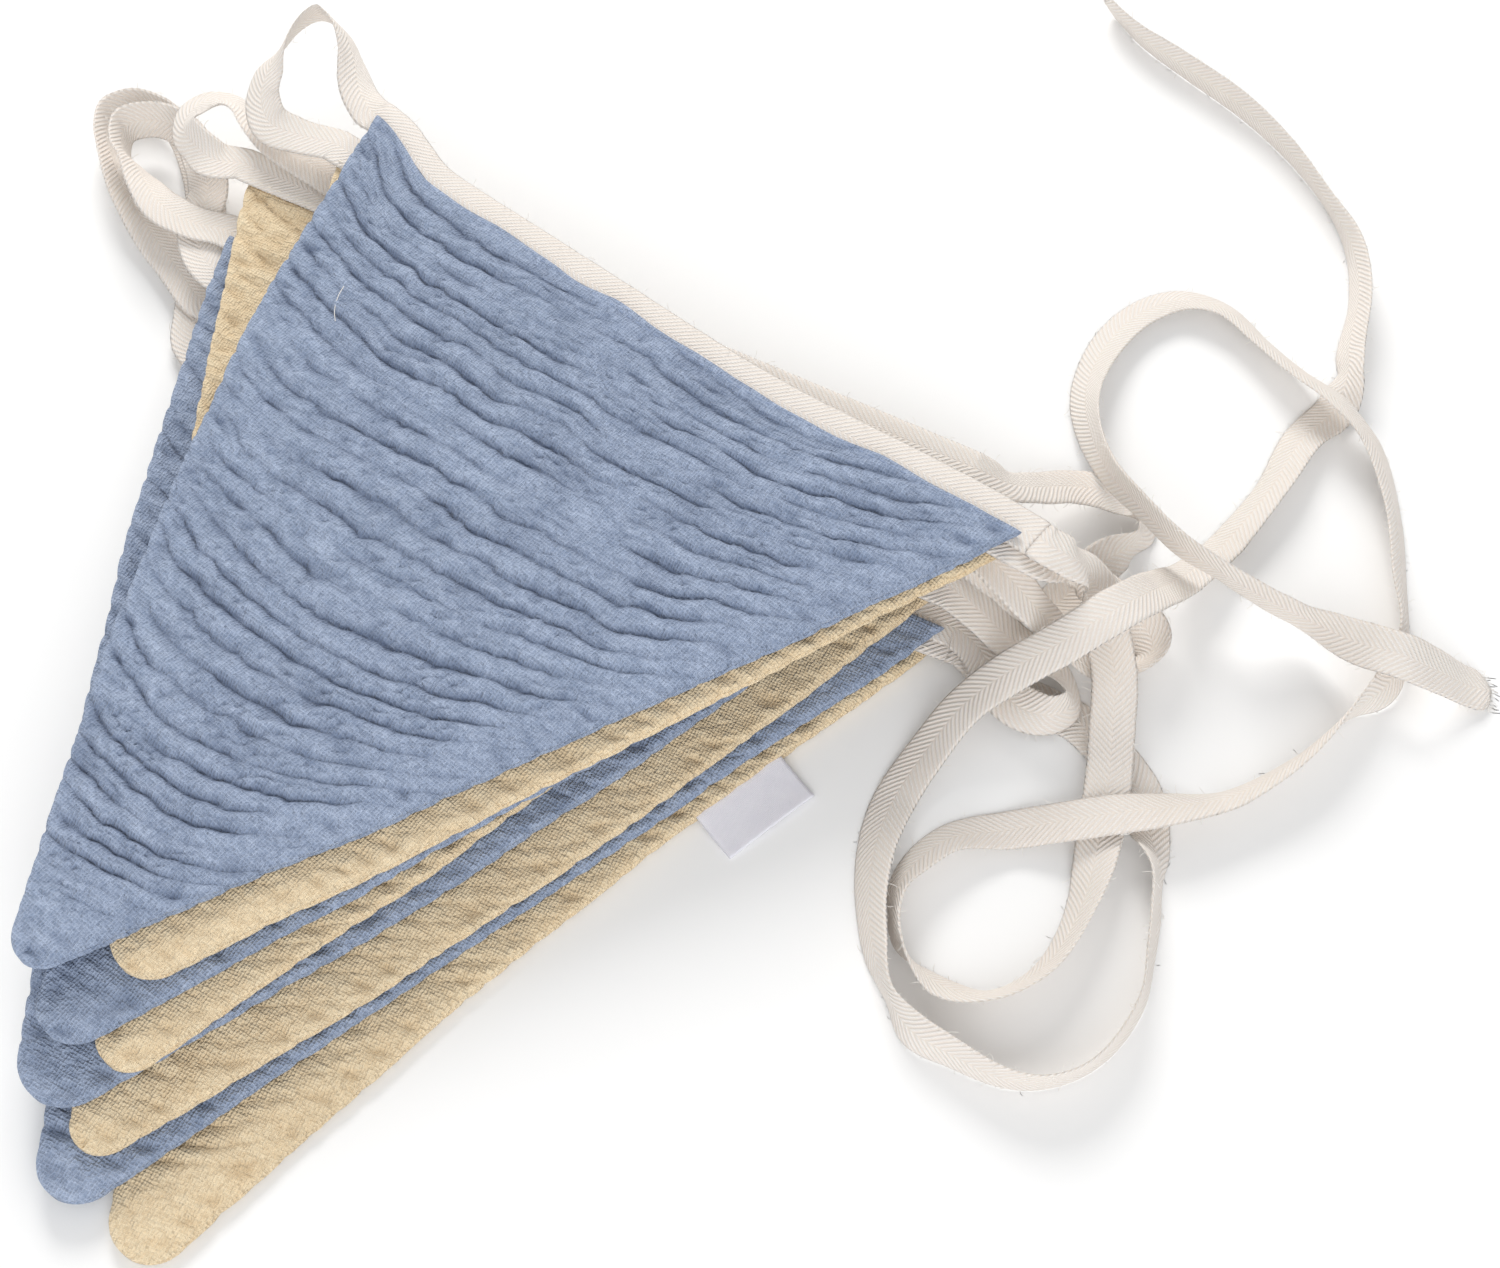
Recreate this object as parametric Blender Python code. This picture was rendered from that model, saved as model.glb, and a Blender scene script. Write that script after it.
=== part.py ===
"""Fabric bunting, taken down and laid in a stack.

Eight triangular flags of crinkled double gauze, blue and cream in turn, hang from
one white herringbone tape. The tape runs to and fro with the flags, makes a loop at
each turn, and ends in two long free ties that lie on the table.

Lengths here are millimetres until the last step, which writes metres. The plan's
zero is under the middle of the top flag's heading, with its tip towards -Y.
"""
import math
from collections import namedtuple

import bmesh
import bpy
from mathutils import Vector

MM = 0.001

# The plan's middle, in the frame above. It becomes the origin.
MIDDLE_X, MIDDLE_Y = -21.25, -89.0

# Tape
TAPE_WIDTH = 10.0
TAPE_THICK = 1.0
TAPE_LAP = 3.2          # how far the tape reaches over, or under, a flag's top edge
TAPE_STRAIGHT = 3.0     # how far it runs straight on past a flag's corner
TIE_GAP = 0.3           # between the heading tape and a tie that goes on from it
TIE_STRAIGHT = (0.0, 1.2, 2.6)  # points of a tie where it still runs straight on
TABLE_CLEAR = 0.05
# Where the tape has a section along a heading, and the top flag a column across its face,
# as shares of the heading from its left corner
RUN_PLACES = (0.0, 0.035, 0.07, 0.105, 0.14, 0.26, 0.38, 0.5, 0.59, 0.68, 0.77, 0.86, 0.94, 1.0)
STATION_TURN = 28.0     # degrees of bend that add one more section to a leg
STATION_LEG = 2.4       # no two sections of a leg are closer than about this

# The stack: the height of one layer at the headings, and how it thins towards the tips
LAYER_AT_HEAD = 4.4
LAYER_THINNING = 0.0065  # lost for each millimetre towards the tips
LAYER_GAP = 0.35

# Flags
RIB_PITCH = 6.4
RIB_DEPTH = 0.9
RIB_TUCK = 0.45         # how far the side edges draw in at each dip between ribs
RIB_AT_LIP = 0.6        # share of a dip's depth that is left where it meets a side lip
RIB_UNEVEN = 0.25       # share of a dip's depth that comes and goes across the flag
RIB_WAVE_ACROSS, RIB_WAVE_ALONG = 9.0, 31.0  # radians of that wave, over the flag's two ways
SEAM_DEPTH = 1.0        # the side seam's groove, between the lips of the two panels
LIP = 1.6               # from the outermost line of a lip to its crown
LIP_SPREAD = 0.30       # height of that line above the seam, as a share of the thickness
LIP_SHARE, GROOVE_SHARE = 0.3, 0.2  # the most of a narrow row's width that each may take
ROW_STEP = 0.5          # the least distance between a flag's rows
SEAM_CLEAR = 0.9        # from the tape's edge to where a flag is at its full thickness again
TIP_ROWS = (4.2, 2.2, 0.9, 0.15)  # distances from the tip of the rows that round it

# The top flag's heading hangs back in a bow between its corners
SAG = 6.6
SAG_LEFT, SAG_RIGHT = 0.14, 0.42  # shares of the heading over which it comes in at each end
SAG_FADE = 55.0         # it is gone this far down the flag

# Label
LABEL_LONG = 23.0
LABEL_OUT = 11.0
LABEL_THICK = 1.0
LABEL_AT = 0.27         # where its middle is, from the corner to the tip of the bottom flag
LABEL_SECTIONS = 5
LABEL_GAP = 0.62        # from the seam's line to where the label starts
LABEL_CLEAR = 0.1       # between the label's far end and the table

Flag = namedtuple("Flag", "name colour left right tip tip_radius bow_left bow_right tape_over")
FLAGS = (
    Flag("flag_1_blue", "blue", (-95.0, 0.0), (95.0, 0.0), (0.0, -196.0), 6.0, 9.0, 2.0, False),
    Flag("flag_2_cream", "cream", (-96.0, -12.0), (93.6, -3.6), (15.5, -184.5),
         9.0, 2.0, 1.0, True),
    Flag("flag_3_blue", "blue", (-94.0, -16.0), (86.0, -5.0), (12.5, -202.2),
         8.5, 2.0, 1.0, False),
    Flag("flag_4_cream", "cream", (-116.0, -25.0), (72.0, 12.0), (25.0, -198.7),
         7.0, 3.0, 3.0, True),
    Flag("flag_5_blue", "blue", (-110.0, -39.0), (76.5, -2.7), (17.5, -211.8),
         9.5, 6.0, 6.0, False),
    Flag("flag_6_cream", "cream", (-102.0, -49.0), (83.2, -11.6), (30.4, -212.9),
         6.5, 2.0, 5.0, True),
    Flag("flag_7_blue", "blue", (-97.6, -52.5), (88.7, -14.9), (31.5, -222.3),
         8.5, 3.0, 0.0, False),
    Flag("flag_8_cream", "cream", (-88.0, -66.0), (89.0, -18.0), (50.5, -221.0),
         9.0, 0.0, -5.0, True),
)

# Routes of the tape where it is free of the flags. Each point has x, y, the height z of
# the tape's middle, and its lean: 0 lies flat, 90 stands on its edge, 180 is turned over.
LOOPS = (
    # left, from flag 1 to flag 2
    ((-105, 4.6, 32, 24), (-113, 10.6, 34, 56), (-119.7, 14, 36.5, 64), (-125.9, 13.6, 38, 66),
     (-127.2, 8.5, 38, 66), (-126.2, 1.2, 36.5, 60), (-124.7, -6, 34, 25),
     (-121.9, -11.7, 31.5, 25), (-115.5, -15.5, 30, 22), (-107, -13.5, 29.5, 5)),
    # right, from flag 2 to flag 3
    ((101, 1, 26, 5), (102, 6, 18, 5), (104, 11, 11.5, 5), (109, 14, 8, 5), (116, 15, 5, 10),
     (123, 14, 4.2, 30), (127, 10, 4.4, 50), (126, 5, 4.2, 45), (121, 1, 3.6, 15),
     (114, -1, 6.8, 10), (108, -3, 12.5, 5), (103, -4, 17, 5), (97, -4, 20.5, 0)),
    # left, from flag 3 to flag 4
    ((-106.1, -15.1, 22.4, 9), (-114.8, -15.9, 21.8, 28), (-123.5, -14.7, 21.4, 45),
     (-131.2, -12.1, 21.2, 48), (-137, -11.7, 21, 30), (-140.9, -14.8, 21, 20),
     (-141.4, -20.1, 21, 23), (-138.7, -25, 20.8, 46), (-132.7, -26.8, 20.6, 44),
     (-125.6, -27.4, 20.6, 14)),
    # right, from flag 4 to flag 5
    ((81, 17.9, 18, -6), (84.8, 24.8, 12.5, -1), (88.4, 32.6, 7.5, -1), (94, 38.1, 4.8, -2),
     (100.8, 39.5, 4.6, -8), (106.8, 37.1, 4.4, -49), (108.2, 31, 5.1, -84),
     (105.6, 24.9, 3.8, -40), (103.6, 16.8, 2, -15), (103, 7.5, 2.6, 0), (100.7, 0.4, 8, 5),
     (94.1, -1, 12.6, 0), (86.9, -1, 13.6, 0)),
    # left, from flag 5 to flag 6
    ((-121, -41, 13.1, 0), (-131, -42, 12.9, 0), (-141, -39, 12, 30), (-149, -36, 11, 60),
     (-156, -34, 10, 70), (-161, -28, 10, 70), (-157, -22, 10, 70), (-149, -20, 10.2, 50),
     (-139, -23, 10.6, 20), (-128, -30, 11, 0), (-121, -40, 11.3, 0), (-113, -46, 11.4, 0)),
    # right, from flag 6 to flag 7
    ((94, -9, 10.4, 0), (102, -9, 7.6, 0), (109, -8, 6, -15), (116, -9, 6.2, -45),
     (121, -13, 6.4, -65), (119, -18, 6.2, -60), (112, -20, 5, -30), (105, -18, 4, -5),
     (98, -14, 4.8, 0)),
    # left, from flag 7 to flag 8
    ((-108, -53, 4.7, 0), (-119, -50, 4.9, 0), (-130, -47, 4.8, 0), (-140, -44, 4.8, 25),
     (-149, -41, 5, 45), (-159, -36, 5.2, 60), (-167, -31, 5.4, 70), (-171, -25, 5.4, 70),
     (-168, -19, 5.4, 70), (-159, -17, 5.2, 60), (-148, -20, 4.6, 40), (-138, -25, 3.8, 15),
     (-128, -33, 3.1, 0), (-117, -45, 3.1, 0), (-108, -56, 3.1, 0), (-101, -63, 3.1, 0)),
)
TIE_OF_FLAG_1 = (
    (106, 4, 28.5, 8), (109, 7.5, 21.5, 12), (113, 8, 14.5, 15), (118, 4, 10.8, 10),
    (125, -3, 8.4, 5), (131, -12, 5.2, 0), (137, -22, 4, 0), (142, -32, 4.4, 10),
    (149, -49, 4.4, 51), (151, -65, 4.7, 60), (146, -77, 4.7, 60), (136, -82, 4, 45),
    (125, -80, 5.2, 91), (119, -73, 5.1, 107), (117, -65, 4.1, 134), (119, -54, 3.2, 149),
    (126.8, -44.3, 1.7, 168), (135.6, -36.2, 4.8, 172), (143.2, -29.2, 7, 172),
    (151.5, -20.3, 6.4, 157), (160.2, -8.4, 4.1, 134), (166.2, 8, 4.9, 115),
    (168.7, 24.9, 5.1, 90), (171, 36, 4.4, 50), (168, 48, 4.9, 66), (160, 60, 4.7, 58),
    (149, 76, 4.4, 53), (136, 88, 6.2, 42), (124, 91.3, 9.2, 35), (111.1, 95.3, 6, 38),
    (98.3, 99.8, 3.7, 40), (86.5, 102.7, 3.3, 33), (76.7, 99.2, 2.5, 22), (71.3, 89.1, 2.3, 20),
    (70.7, 75.7, 2.8, 26), (74.9, 60.8, 4.5, 46), (83.4, 48.8, 8, 68), (94.9, 38.7, 12.5, 84),
    (106.1, 33.1, 16, 91), (119.2, 28.8, 17.6, 92), (130.6, 29.1, 17, 99), (140, 32, 13, 97),
    (149.4, 35.3, 9.6, 90), (160.2, 35.8, 11, 56), (171.1, 37.5, 13.6, 28),
    (178.7, 42.1, 8.8, 16), (184.9, 46.7, 3.2, 6), (189.4, 50.3, 0.6, 0),
)
TIE_OF_FLAG_8 = (
    (102, -15, 1.6, 0), (109, -15, 0.8, 0), (116, -14, 0.7, 0), (123, -13, 0.7, 0),
    (130, -14, 0.7, 0), (138, -16, 0.6, 0), (145, -20, 0.6, 0), (151, -27, 2.6, -22),
    (157, -34, 4.9, -67), (162, -42, 5, -71), (166, -50, 5.1, -74), (170, -59, 5.2, -79),
    (171, -70, 5.2, -85), (169, -79, 5.2, -92), (164, -86, 5.2, -92), (157, -90, 5.2, -84),
    (147, -92, 5.1, -73), (138, -93, 4.9, -64), (130, -90, 5.1, -87), (122, -84, 4.8, -65),
    (114, -75, 4.3, -51), (108, -65, 3.3, -34), (104, -53, 1.9, -15), (103, -40, 4, -18),
    (104, -29, 9, -13), (108, -19, 14, 3), (114, -9, 20, 8), (119, 2, 24, 10),
    (121.5, 13, 20, 10), (122, 22, 12.5, 5), (123, 31, 7.5, -16), (124, 46, 3, -29),
    (124, 65, 3.6, -38), (122, 82, 2.4, -20), (123.2, 95.5, 1.2, -6), (120.6, 104.5, 4.9, -62),
    (117, 111, 4.7, -59), (110.7, 126, 5, -69), (101.8, 138.2, 5.2, -82), (89.9, 147, 5.1, -102),
    (73, 156, 5.2, -100), (55, 162, 5.2, -95), (34, 165, 5.2, -97), (19, 167, 5.1, -106),
    (5, 172, 4.9, -115),
)

Station = namedtuple("Station", "x y z lean")


def material(name, colour, roughness):
    """A plain cloth finish."""
    made = bpy.data.materials.new(name)
    made.use_nodes = True
    shader = made.node_tree.nodes["Principled BSDF"]
    shader.inputs["Base Color"].default_value = (*colour, 1.0)
    shader.inputs["Roughness"].default_value = roughness
    shader.inputs["Metallic"].default_value = 0.0
    return made


def loft(name, sections, finish, collection):
    """One closed solid through rings of points that all have the same count."""
    mesh_maker = bmesh.new()
    rings = []
    for section in sections:
        ring = []
        for x, y, z in section:
            ring.append(mesh_maker.verts.new(((x - MIDDLE_X) * MM, (y - MIDDLE_Y) * MM, z * MM)))
        rings.append(ring)
    count = len(rings[0])
    for near, far in zip(rings, rings[1:]):
        for i in range(count):
            j = (i + 1) % count
            mesh_maker.faces.new((near[i], near[j], far[j], far[i]))
    mesh_maker.faces.new(rings[0])
    mesh_maker.faces.new(rings[-1])
    bmesh.ops.recalc_face_normals(mesh_maker, faces=mesh_maker.faces[:])
    bmesh.ops.triangulate(mesh_maker, faces=mesh_maker.faces[:])
    mesh = bpy.data.meshes.new(name)
    mesh_maker.to_mesh(mesh)
    mesh_maker.free()
    mesh.materials.append(finish)
    piece = bpy.data.objects.new(name, mesh)
    collection.objects.link(piece)
    return piece


def layer_height(y):
    """Height of one layer of the stack at a place in the plan."""
    return LAYER_AT_HEAD + LAYER_THINNING * y


def level_of(flag):
    """How many layers lie under a flag."""
    return len(FLAGS) - 1 - FLAGS.index(flag)


def smooth(value):
    """0 below 0, 1 above 1, and a soft slope between."""
    value = min(max(value, 0.0), 1.0)
    return value * value * (3 - 2 * value)


def heading_sag(flag, part, down):
    """How far a place of the top flag is drawn towards its tip: part across, down it."""
    if flag is not FLAGS[0]:
        return 0.0
    bow = smooth(part / SAG_LEFT) * smooth((1 - part) / SAG_RIGHT)
    return SAG * bow * smooth(1 - down / SAG_FADE)


def side_seam(flag, share):
    """Left and right edge of a flag in the plan, at a share of the way to its tip."""
    left, right, tip = Vector(flag.left), Vector(flag.right), Vector(flag.tip)
    middle = (left + right) / 2
    across = (right - left).normalized()
    length = (tip - middle).length
    half_top = (right - left).length / 2
    apex = math.atan2(half_top, length)
    to_tip = length * (1 - share)
    radius = flag.tip_radius
    tangent = radius * (1 - math.sin(apex))
    if to_tip < tangent:
        half = math.sqrt(radius ** 2 - (radius - to_tip) ** 2)
    else:
        tangent_half = radius * math.cos(apex)
        grow = (to_tip - tangent) / (length - tangent)
        half = tangent_half + (half_top - tangent_half) * grow
    centre = middle + (tip - middle) * share
    belly = math.sin(math.pi * share)
    return (centre - across * (half + flag.bow_left * belly),
            centre + across * (half + flag.bow_right * belly))


def flag_rows(flag):
    """Shares of the way to the tip where a flag has a section, and whether it is a dip."""
    left, right, tip = Vector(flag.left), Vector(flag.right), Vector(flag.tip)
    length = (tip - (left + right) / 2).length
    seam_end = TAPE_LAP + SEAM_CLEAR
    rows = [(0.0, False), (seam_end / length, False), ((seam_end + ROW_STEP) / length, False)]
    ribs = round(length / RIB_PITCH - 1.5)
    for half_rib in range(2 * ribs + 1):
        place = RIB_PITCH + half_rib * RIB_PITCH / 2
        rows.append((place / length, half_rib % 2 == 1))
    last = rows[-1][0] * length
    for to_tip in TIP_ROWS:
        if length - to_tip > last + ROW_STEP:
            rows.append((1 - to_tip / length, False))
    return rows


def flag_section(flag, share, dip, lapped):
    """The ring of points round a flag's two panels at one row."""
    left, right = side_seam(flag, share)
    across = (right - left).normalized()
    towards_tip = Vector((across.y, -across.x))
    wide = (right - left).length
    down = share * (Vector(flag.tip) - (Vector(flag.left) + Vector(flag.right)) / 2).length
    tuck = RIB_TUCK if dip else 0.0
    lip = min(LIP, wide * LIP_SHARE)
    groove = min(SEAM_DEPTH, wide * GROOVE_SHARE)
    sink = RIB_DEPTH if dip else 0.0
    level = level_of(flag)
    taken = TAPE_THICK + LAYER_GAP if lapped else 0.0

    def at(inset, high, drop=0.0):
        """A point that far in from the left edge, at a share of the thickness."""
        spot = left + across * inset + towards_tip * heading_sag(flag, inset / wide, down)
        layer = layer_height(spot.y)
        low = level * layer + (0.0 if flag.tape_over else taken)
        top = (level + 1) * layer - LAYER_GAP - (taken if flag.tape_over else 0.0)
        return (spot.x, spot.y, low + (top - low) * high - drop)

    near, far = tuck, wide - tuck
    columns = []
    if flag is FLAGS[0]:
        columns = [near + lip + (far - near - 2 * lip) * part for part in RUN_PLACES[1:-1]]
    ring = [at(near + groove, 0.5), at(near, 0.5 + LIP_SPREAD),
            at(near + lip, 1.0, sink * RIB_AT_LIP)]
    for inset in columns:
        wave = math.sin(RIB_WAVE_ACROSS * inset / wide + RIB_WAVE_ALONG * share)
        uneven = 1 - RIB_UNEVEN + RIB_UNEVEN * wave
        ring.append(at(inset, 1.0, sink * uneven))
    ring += [at(far - lip, 1.0, sink * RIB_AT_LIP), at(far, 0.5 + LIP_SPREAD),
             at(far - groove, 0.5), at(far, 0.5 - LIP_SPREAD), at(far - lip, 0.0)]
    ring += [at(inset, 0.0) for inset in reversed(columns)]
    return ring + [at(near + lip, 0.0), at(near, 0.5 - LIP_SPREAD)]


def make_flag(flag, finish, collection):
    """A flag: two panels sewn and turned, raised in ribs that run along its heading."""
    sections = []
    for number, (share, dip) in enumerate(flag_rows(flag)):
        sections.append(flag_section(flag, share, dip, number < 2))
    return loft(flag.name, sections, finish, collection)


def heading_run(flag):
    """Stations of the tape along a flag's heading, from left to right."""
    left, right = Vector(flag.left), Vector(flag.right)
    along = (right - left).normalized()
    outward = Vector((-along.y, along.x)) * (TAPE_WIDTH / 2 - TAPE_LAP)
    ahead = along * TAPE_STRAIGHT
    places = [left - ahead]
    for part in RUN_PLACES:
        sag = outward.normalized() * heading_sag(flag, part, 0)
        places.append(left + (right - left) * part - sag)
    places.append(right + ahead)
    stations = []
    for place in places:
        spot = place + outward
        layer = layer_height(spot.y)
        if flag.tape_over:
            height = (level_of(flag) + 1) * layer - LAYER_GAP - TAPE_THICK / 2
        else:
            height = level_of(flag) * layer + TAPE_THICK / 2
        stations.append(Station(spot.x, spot.y, height, 0.0))
    return stations


def on_table(station):
    """The same station, lifted where its leaning tape would dip into the table."""
    lean = math.radians(station.lean)
    under = (TAPE_WIDTH * abs(math.sin(lean)) + TAPE_THICK * abs(math.cos(lean))) / 2
    return station._replace(z=max(station.z, under + TABLE_CLEAR))


def smooth_route(points):
    """Stations on a smooth curve through the points, closer where the route bends."""
    points = [Station(*point) for point in points]
    values = [Vector(point) for point in points]
    legs = [(Vector(b[:3]) - Vector(a[:3])) for a, b in zip(points, points[1:])]
    slopes = [(values[1] - values[0]) / legs[0].length]
    for i in range(1, len(points) - 1):
        slopes.append((values[i + 1] - values[i - 1]) / (legs[i].length + legs[i - 1].length))
    slopes.append((values[-1] - values[-2]) / legs[-1].length)

    stations = []
    for i, leg in enumerate(legs):
        turn = legs[max(i - 1, 0)].angle(leg) + leg.angle(legs[min(i + 1, len(legs) - 1)])
        turn += abs(math.radians(points[i + 1].lean - points[i].lean))
        steps = 1 + min(int(math.degrees(turn) / STATION_TURN), int(leg.length / STATION_LEG))
        for k in range(steps):
            t = k / steps
            value = (values[i] * (2 * t ** 3 - 3 * t ** 2 + 1)
                     + slopes[i] * leg.length * (t ** 3 - 2 * t ** 2 + t)
                     + values[i + 1] * (3 * t ** 2 - 2 * t ** 3)
                     + slopes[i + 1] * leg.length * (t ** 3 - t ** 2))
            stations.append(on_table(Station(*value)))
    stations.append(on_table(points[-1]))
    return stations


def tape_sections(stations):
    """Four-cornered sections of the tape, square to its route and turned by its lean."""
    places = [Vector(station[:3]) for station in stations]
    sections = []
    for i, station in enumerate(stations):
        ahead = (places[min(i + 1, len(places) - 1)] - places[max(i - 1, 0)]).normalized()
        flat = Vector((0.0, 0.0, 1.0)).cross(ahead).normalized()
        up = ahead.cross(flat)
        lean = math.radians(station.lean)
        wide = (flat * math.cos(lean) + up * math.sin(lean)) * TAPE_WIDTH / 2
        thick = (up * math.cos(lean) - flat * math.sin(lean)) * TAPE_THICK / 2
        spot = places[i]
        sections.append([spot + wide + thick, spot - wide + thick,
                         spot - wide - thick, spot + wide - thick])
    return sections


def heading_route():
    """The whole heading tape: across flag 1, round a loop, back across flag 2, and on."""
    route = []
    for number, flag in enumerate(FLAGS):
        run = heading_run(flag)
        if number % 2 == 0:
            run.reverse()
        route += run
        if number < len(LOOPS):
            route += LOOPS[number]
    return route


def tie_route(points, flag):
    """A tie's route, from a small gap past the right end of its flag's heading tape."""
    run = heading_run(flag)
    end, before = run[-1], run[-2]
    along = (Vector(end[:3]) - Vector(before[:3])).normalized()
    start = Vector(end[:3]) + along * TIE_GAP
    straight = [Station(*(start + along * way), 0.0) for way in TIE_STRAIGHT]
    return straight + list(points)


def make_label(finish, collection):
    """The white ribbon label, caught in the bottom flag's side seam, blank."""
    flag = FLAGS[-1]
    length = (Vector(flag.tip) - (Vector(flag.left) + Vector(flag.right)) / 2).length
    half = LABEL_LONG / 2 / length
    upper = side_seam(flag, LABEL_AT - half)[1]
    lower = side_seam(flag, LABEL_AT + half)[1]
    along = (lower - upper).normalized()
    outward = Vector((-along.y, along.x))
    seam_height = (layer_height(upper.y) - LAYER_GAP) / 2
    sections = []
    for i in range(LABEL_SECTIONS):
        part = i / (LABEL_SECTIONS - 1)
        reach = outward * (LABEL_OUT * part + LABEL_GAP)
        height = LABEL_THICK / 2 + LABEL_CLEAR + (seam_height - LABEL_THICK / 2) * (1 - part) ** 2
        a, b = upper + reach, lower + reach
        sections.append([(a.x, a.y, height + LABEL_THICK / 2), (b.x, b.y, height + LABEL_THICK / 2),
                         (b.x, b.y, height - LABEL_THICK / 2), (a.x, a.y, height - LABEL_THICK / 2)])
    return loft("side_label", sections, finish, collection)


def main():
    for item in list(bpy.data.objects):
        bpy.data.objects.remove(item, do_unlink=True)
    collection = bpy.data.collections.new("fabric_bunting")
    bpy.context.scene.collection.children.link(collection)

    finishes = {
        "blue": material("blue double gauze", (0.235, 0.305, 0.456), 0.95),
        "cream": material("cream double gauze", (0.760, 0.610, 0.380), 0.95),
    }
    cotton = material("white cotton tape", (0.86, 0.81, 0.76), 0.9)
    satin = material("white satin", (0.84, 0.84, 0.86), 0.45)

    for flag in FLAGS:
        make_flag(flag, finishes[flag.colour], collection)
    loft("heading_tape", tape_sections(smooth_route(heading_route())), cotton, collection)
    for name, points, flag in (("tie_upper", TIE_OF_FLAG_1, FLAGS[0]),
                               ("tie_lower", TIE_OF_FLAG_8, FLAGS[-1])):
        stations = smooth_route(tie_route(points, flag))
        loft(name, tape_sections(stations), cotton, collection)
    make_label(satin, collection)


main()
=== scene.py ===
# %% [markdown]
# # A fabric bunting, taken down and laid in a stack
#
# Eight small flags of crinkled double gauze, blue and cream in turn, are sewn along one
# long herringbone tape. Here the tape has been folded to and fro, so the flags lie on top
# of each other, the tape makes a loop at each turn, and its two free ends lie on the table.
#
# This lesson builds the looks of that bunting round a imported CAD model. The CAD model says
# where every piece is. The cells below make finer pieces in the same places.

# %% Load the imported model
import math
from collections import namedtuple

import bpy
import numpy as np
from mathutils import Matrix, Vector


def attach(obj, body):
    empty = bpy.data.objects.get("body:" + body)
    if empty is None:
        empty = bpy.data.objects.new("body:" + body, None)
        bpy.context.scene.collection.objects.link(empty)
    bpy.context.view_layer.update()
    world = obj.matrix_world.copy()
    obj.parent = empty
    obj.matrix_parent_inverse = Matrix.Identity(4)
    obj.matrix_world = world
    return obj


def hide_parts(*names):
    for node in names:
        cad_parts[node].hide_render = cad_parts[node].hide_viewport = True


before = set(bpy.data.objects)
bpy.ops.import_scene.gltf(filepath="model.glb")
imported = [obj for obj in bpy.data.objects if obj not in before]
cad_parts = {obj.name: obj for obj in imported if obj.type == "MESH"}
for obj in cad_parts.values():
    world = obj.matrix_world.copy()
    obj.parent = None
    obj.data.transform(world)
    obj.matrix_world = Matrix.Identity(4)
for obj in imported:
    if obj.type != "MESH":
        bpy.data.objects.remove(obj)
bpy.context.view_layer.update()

# %% [markdown]
# ## One camera, one scale
#
# The camera looks steeply down from the front right, about 40 cm away, as someone standing
# at a table would. It is set first, because everything after it is judged through it.
# Blender's camera looks along its own -Z, so a tilt of 31 degrees about X leaves it
# looking mostly down, and the turn about Z swings it round to the right.

# %% Camera
camera_data = bpy.data.cameras.new("camera")
camera_data.lens = 50.0
camera_data.sensor_width = 36.0
camera_data.clip_start = 0.01
camera = bpy.data.objects.new("camera", camera_data)
camera.location = (0.22515, -0.1361, 0.3993)
camera.rotation_euler = (math.radians(30.82), 0.0, math.radians(39.06))
bpy.context.scene.collection.objects.link(camera)
bpy.context.scene.camera = camera
print("camera height", camera.location.z)

# %% [markdown]
# ## The plan of the stack
#
# Soft goods are easiest to think of in millimetres on a plan. Each flag is a triangle that
# has turned and slid a little from the one above it. The table below holds its two top
# corners and its tip, how far its sides belly out, and whether the tape lies over its top
# edge or under it. Folding the string of flags to and fro turns every second flag over,
# which is why the tape changes sides. The top flag's heading isn't held straight by
# anything, so between its corners it hangs back in a bow, the sag below.
#
# The same numbers are in the CAD source, so the fine pieces land on the solid ones.

# %% Flag table
MM = 0.001
MIDDLE = np.array([-21.25, -89.0, 0.0])
Flag = namedtuple("Flag", "name colour left right tip tip_radius bow_left bow_right tape_over")
FLAGS = (
    Flag("flag_1_blue", "blue", (-95.0, 0.0), (95.0, 0.0), (0.0, -196.0), 6.0, 9.0, 2.0, False),
    Flag("flag_2_cream", "cream", (-96.0, -12.0), (93.6, -3.6), (15.5, -184.5),
         9.0, 2.0, 1.0, True),
    Flag("flag_3_blue", "blue", (-94.0, -16.0), (86.0, -5.0), (12.5, -202.2),
         8.5, 2.0, 1.0, False),
    Flag("flag_4_cream", "cream", (-116.0, -25.0), (72.0, 12.0), (25.0, -198.7),
         7.0, 3.0, 3.0, True),
    Flag("flag_5_blue", "blue", (-110.0, -39.0), (76.5, -2.7), (17.5, -211.8),
         9.5, 6.0, 6.0, False),
    Flag("flag_6_cream", "cream", (-102.0, -49.0), (83.2, -11.6), (30.4, -212.9),
         6.5, 2.0, 5.0, True),
    Flag("flag_7_blue", "blue", (-97.6, -52.5), (88.7, -14.9), (31.5, -222.3),
         8.5, 3.0, 0.0, False),
    Flag("flag_8_cream", "cream", (-88.0, -66.0), (89.0, -18.0), (50.5, -221.0),
         9.0, 0.0, -5.0, True),
)
LAYER_AT_HEAD = 4.4
LAYER_THINNING = 0.0065
LAYER_GAP = 0.35
TAPE_WIDTH = 10.0
TAPE_THICK = 1.0
TAPE_LAP = 3.2
SAG = 6.6
SAG_LEFT, SAG_RIGHT = 0.14, 0.42
SAG_FADE = 55.0


def layer_height(y):
    """Height of one layer of the stack at a place in the plan."""
    return LAYER_AT_HEAD + LAYER_THINNING * y


def level_of(flag):
    """How many layers lie under a flag."""
    return len(FLAGS) - 1 - FLAGS.index(flag)


def smooth(value):
    """0 below 0, 1 above 1, and a soft slope between."""
    value = np.clip(value, 0.0, 1.0)
    return value * value * (3 - 2 * value)


def heading_sag(flag, part, down):
    """How far a place of the top flag is drawn towards its tip: part across, down it."""
    bow = smooth(part / SAG_LEFT) * smooth((1 - part) / SAG_RIGHT)
    return SAG * bow * smooth(1 - down / SAG_FADE) * (flag is FLAGS[0])


def metres(points):
    """Plan millimetres to the object's own metres."""
    return (np.asarray(points, float) - MIDDLE) * MM


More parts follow.
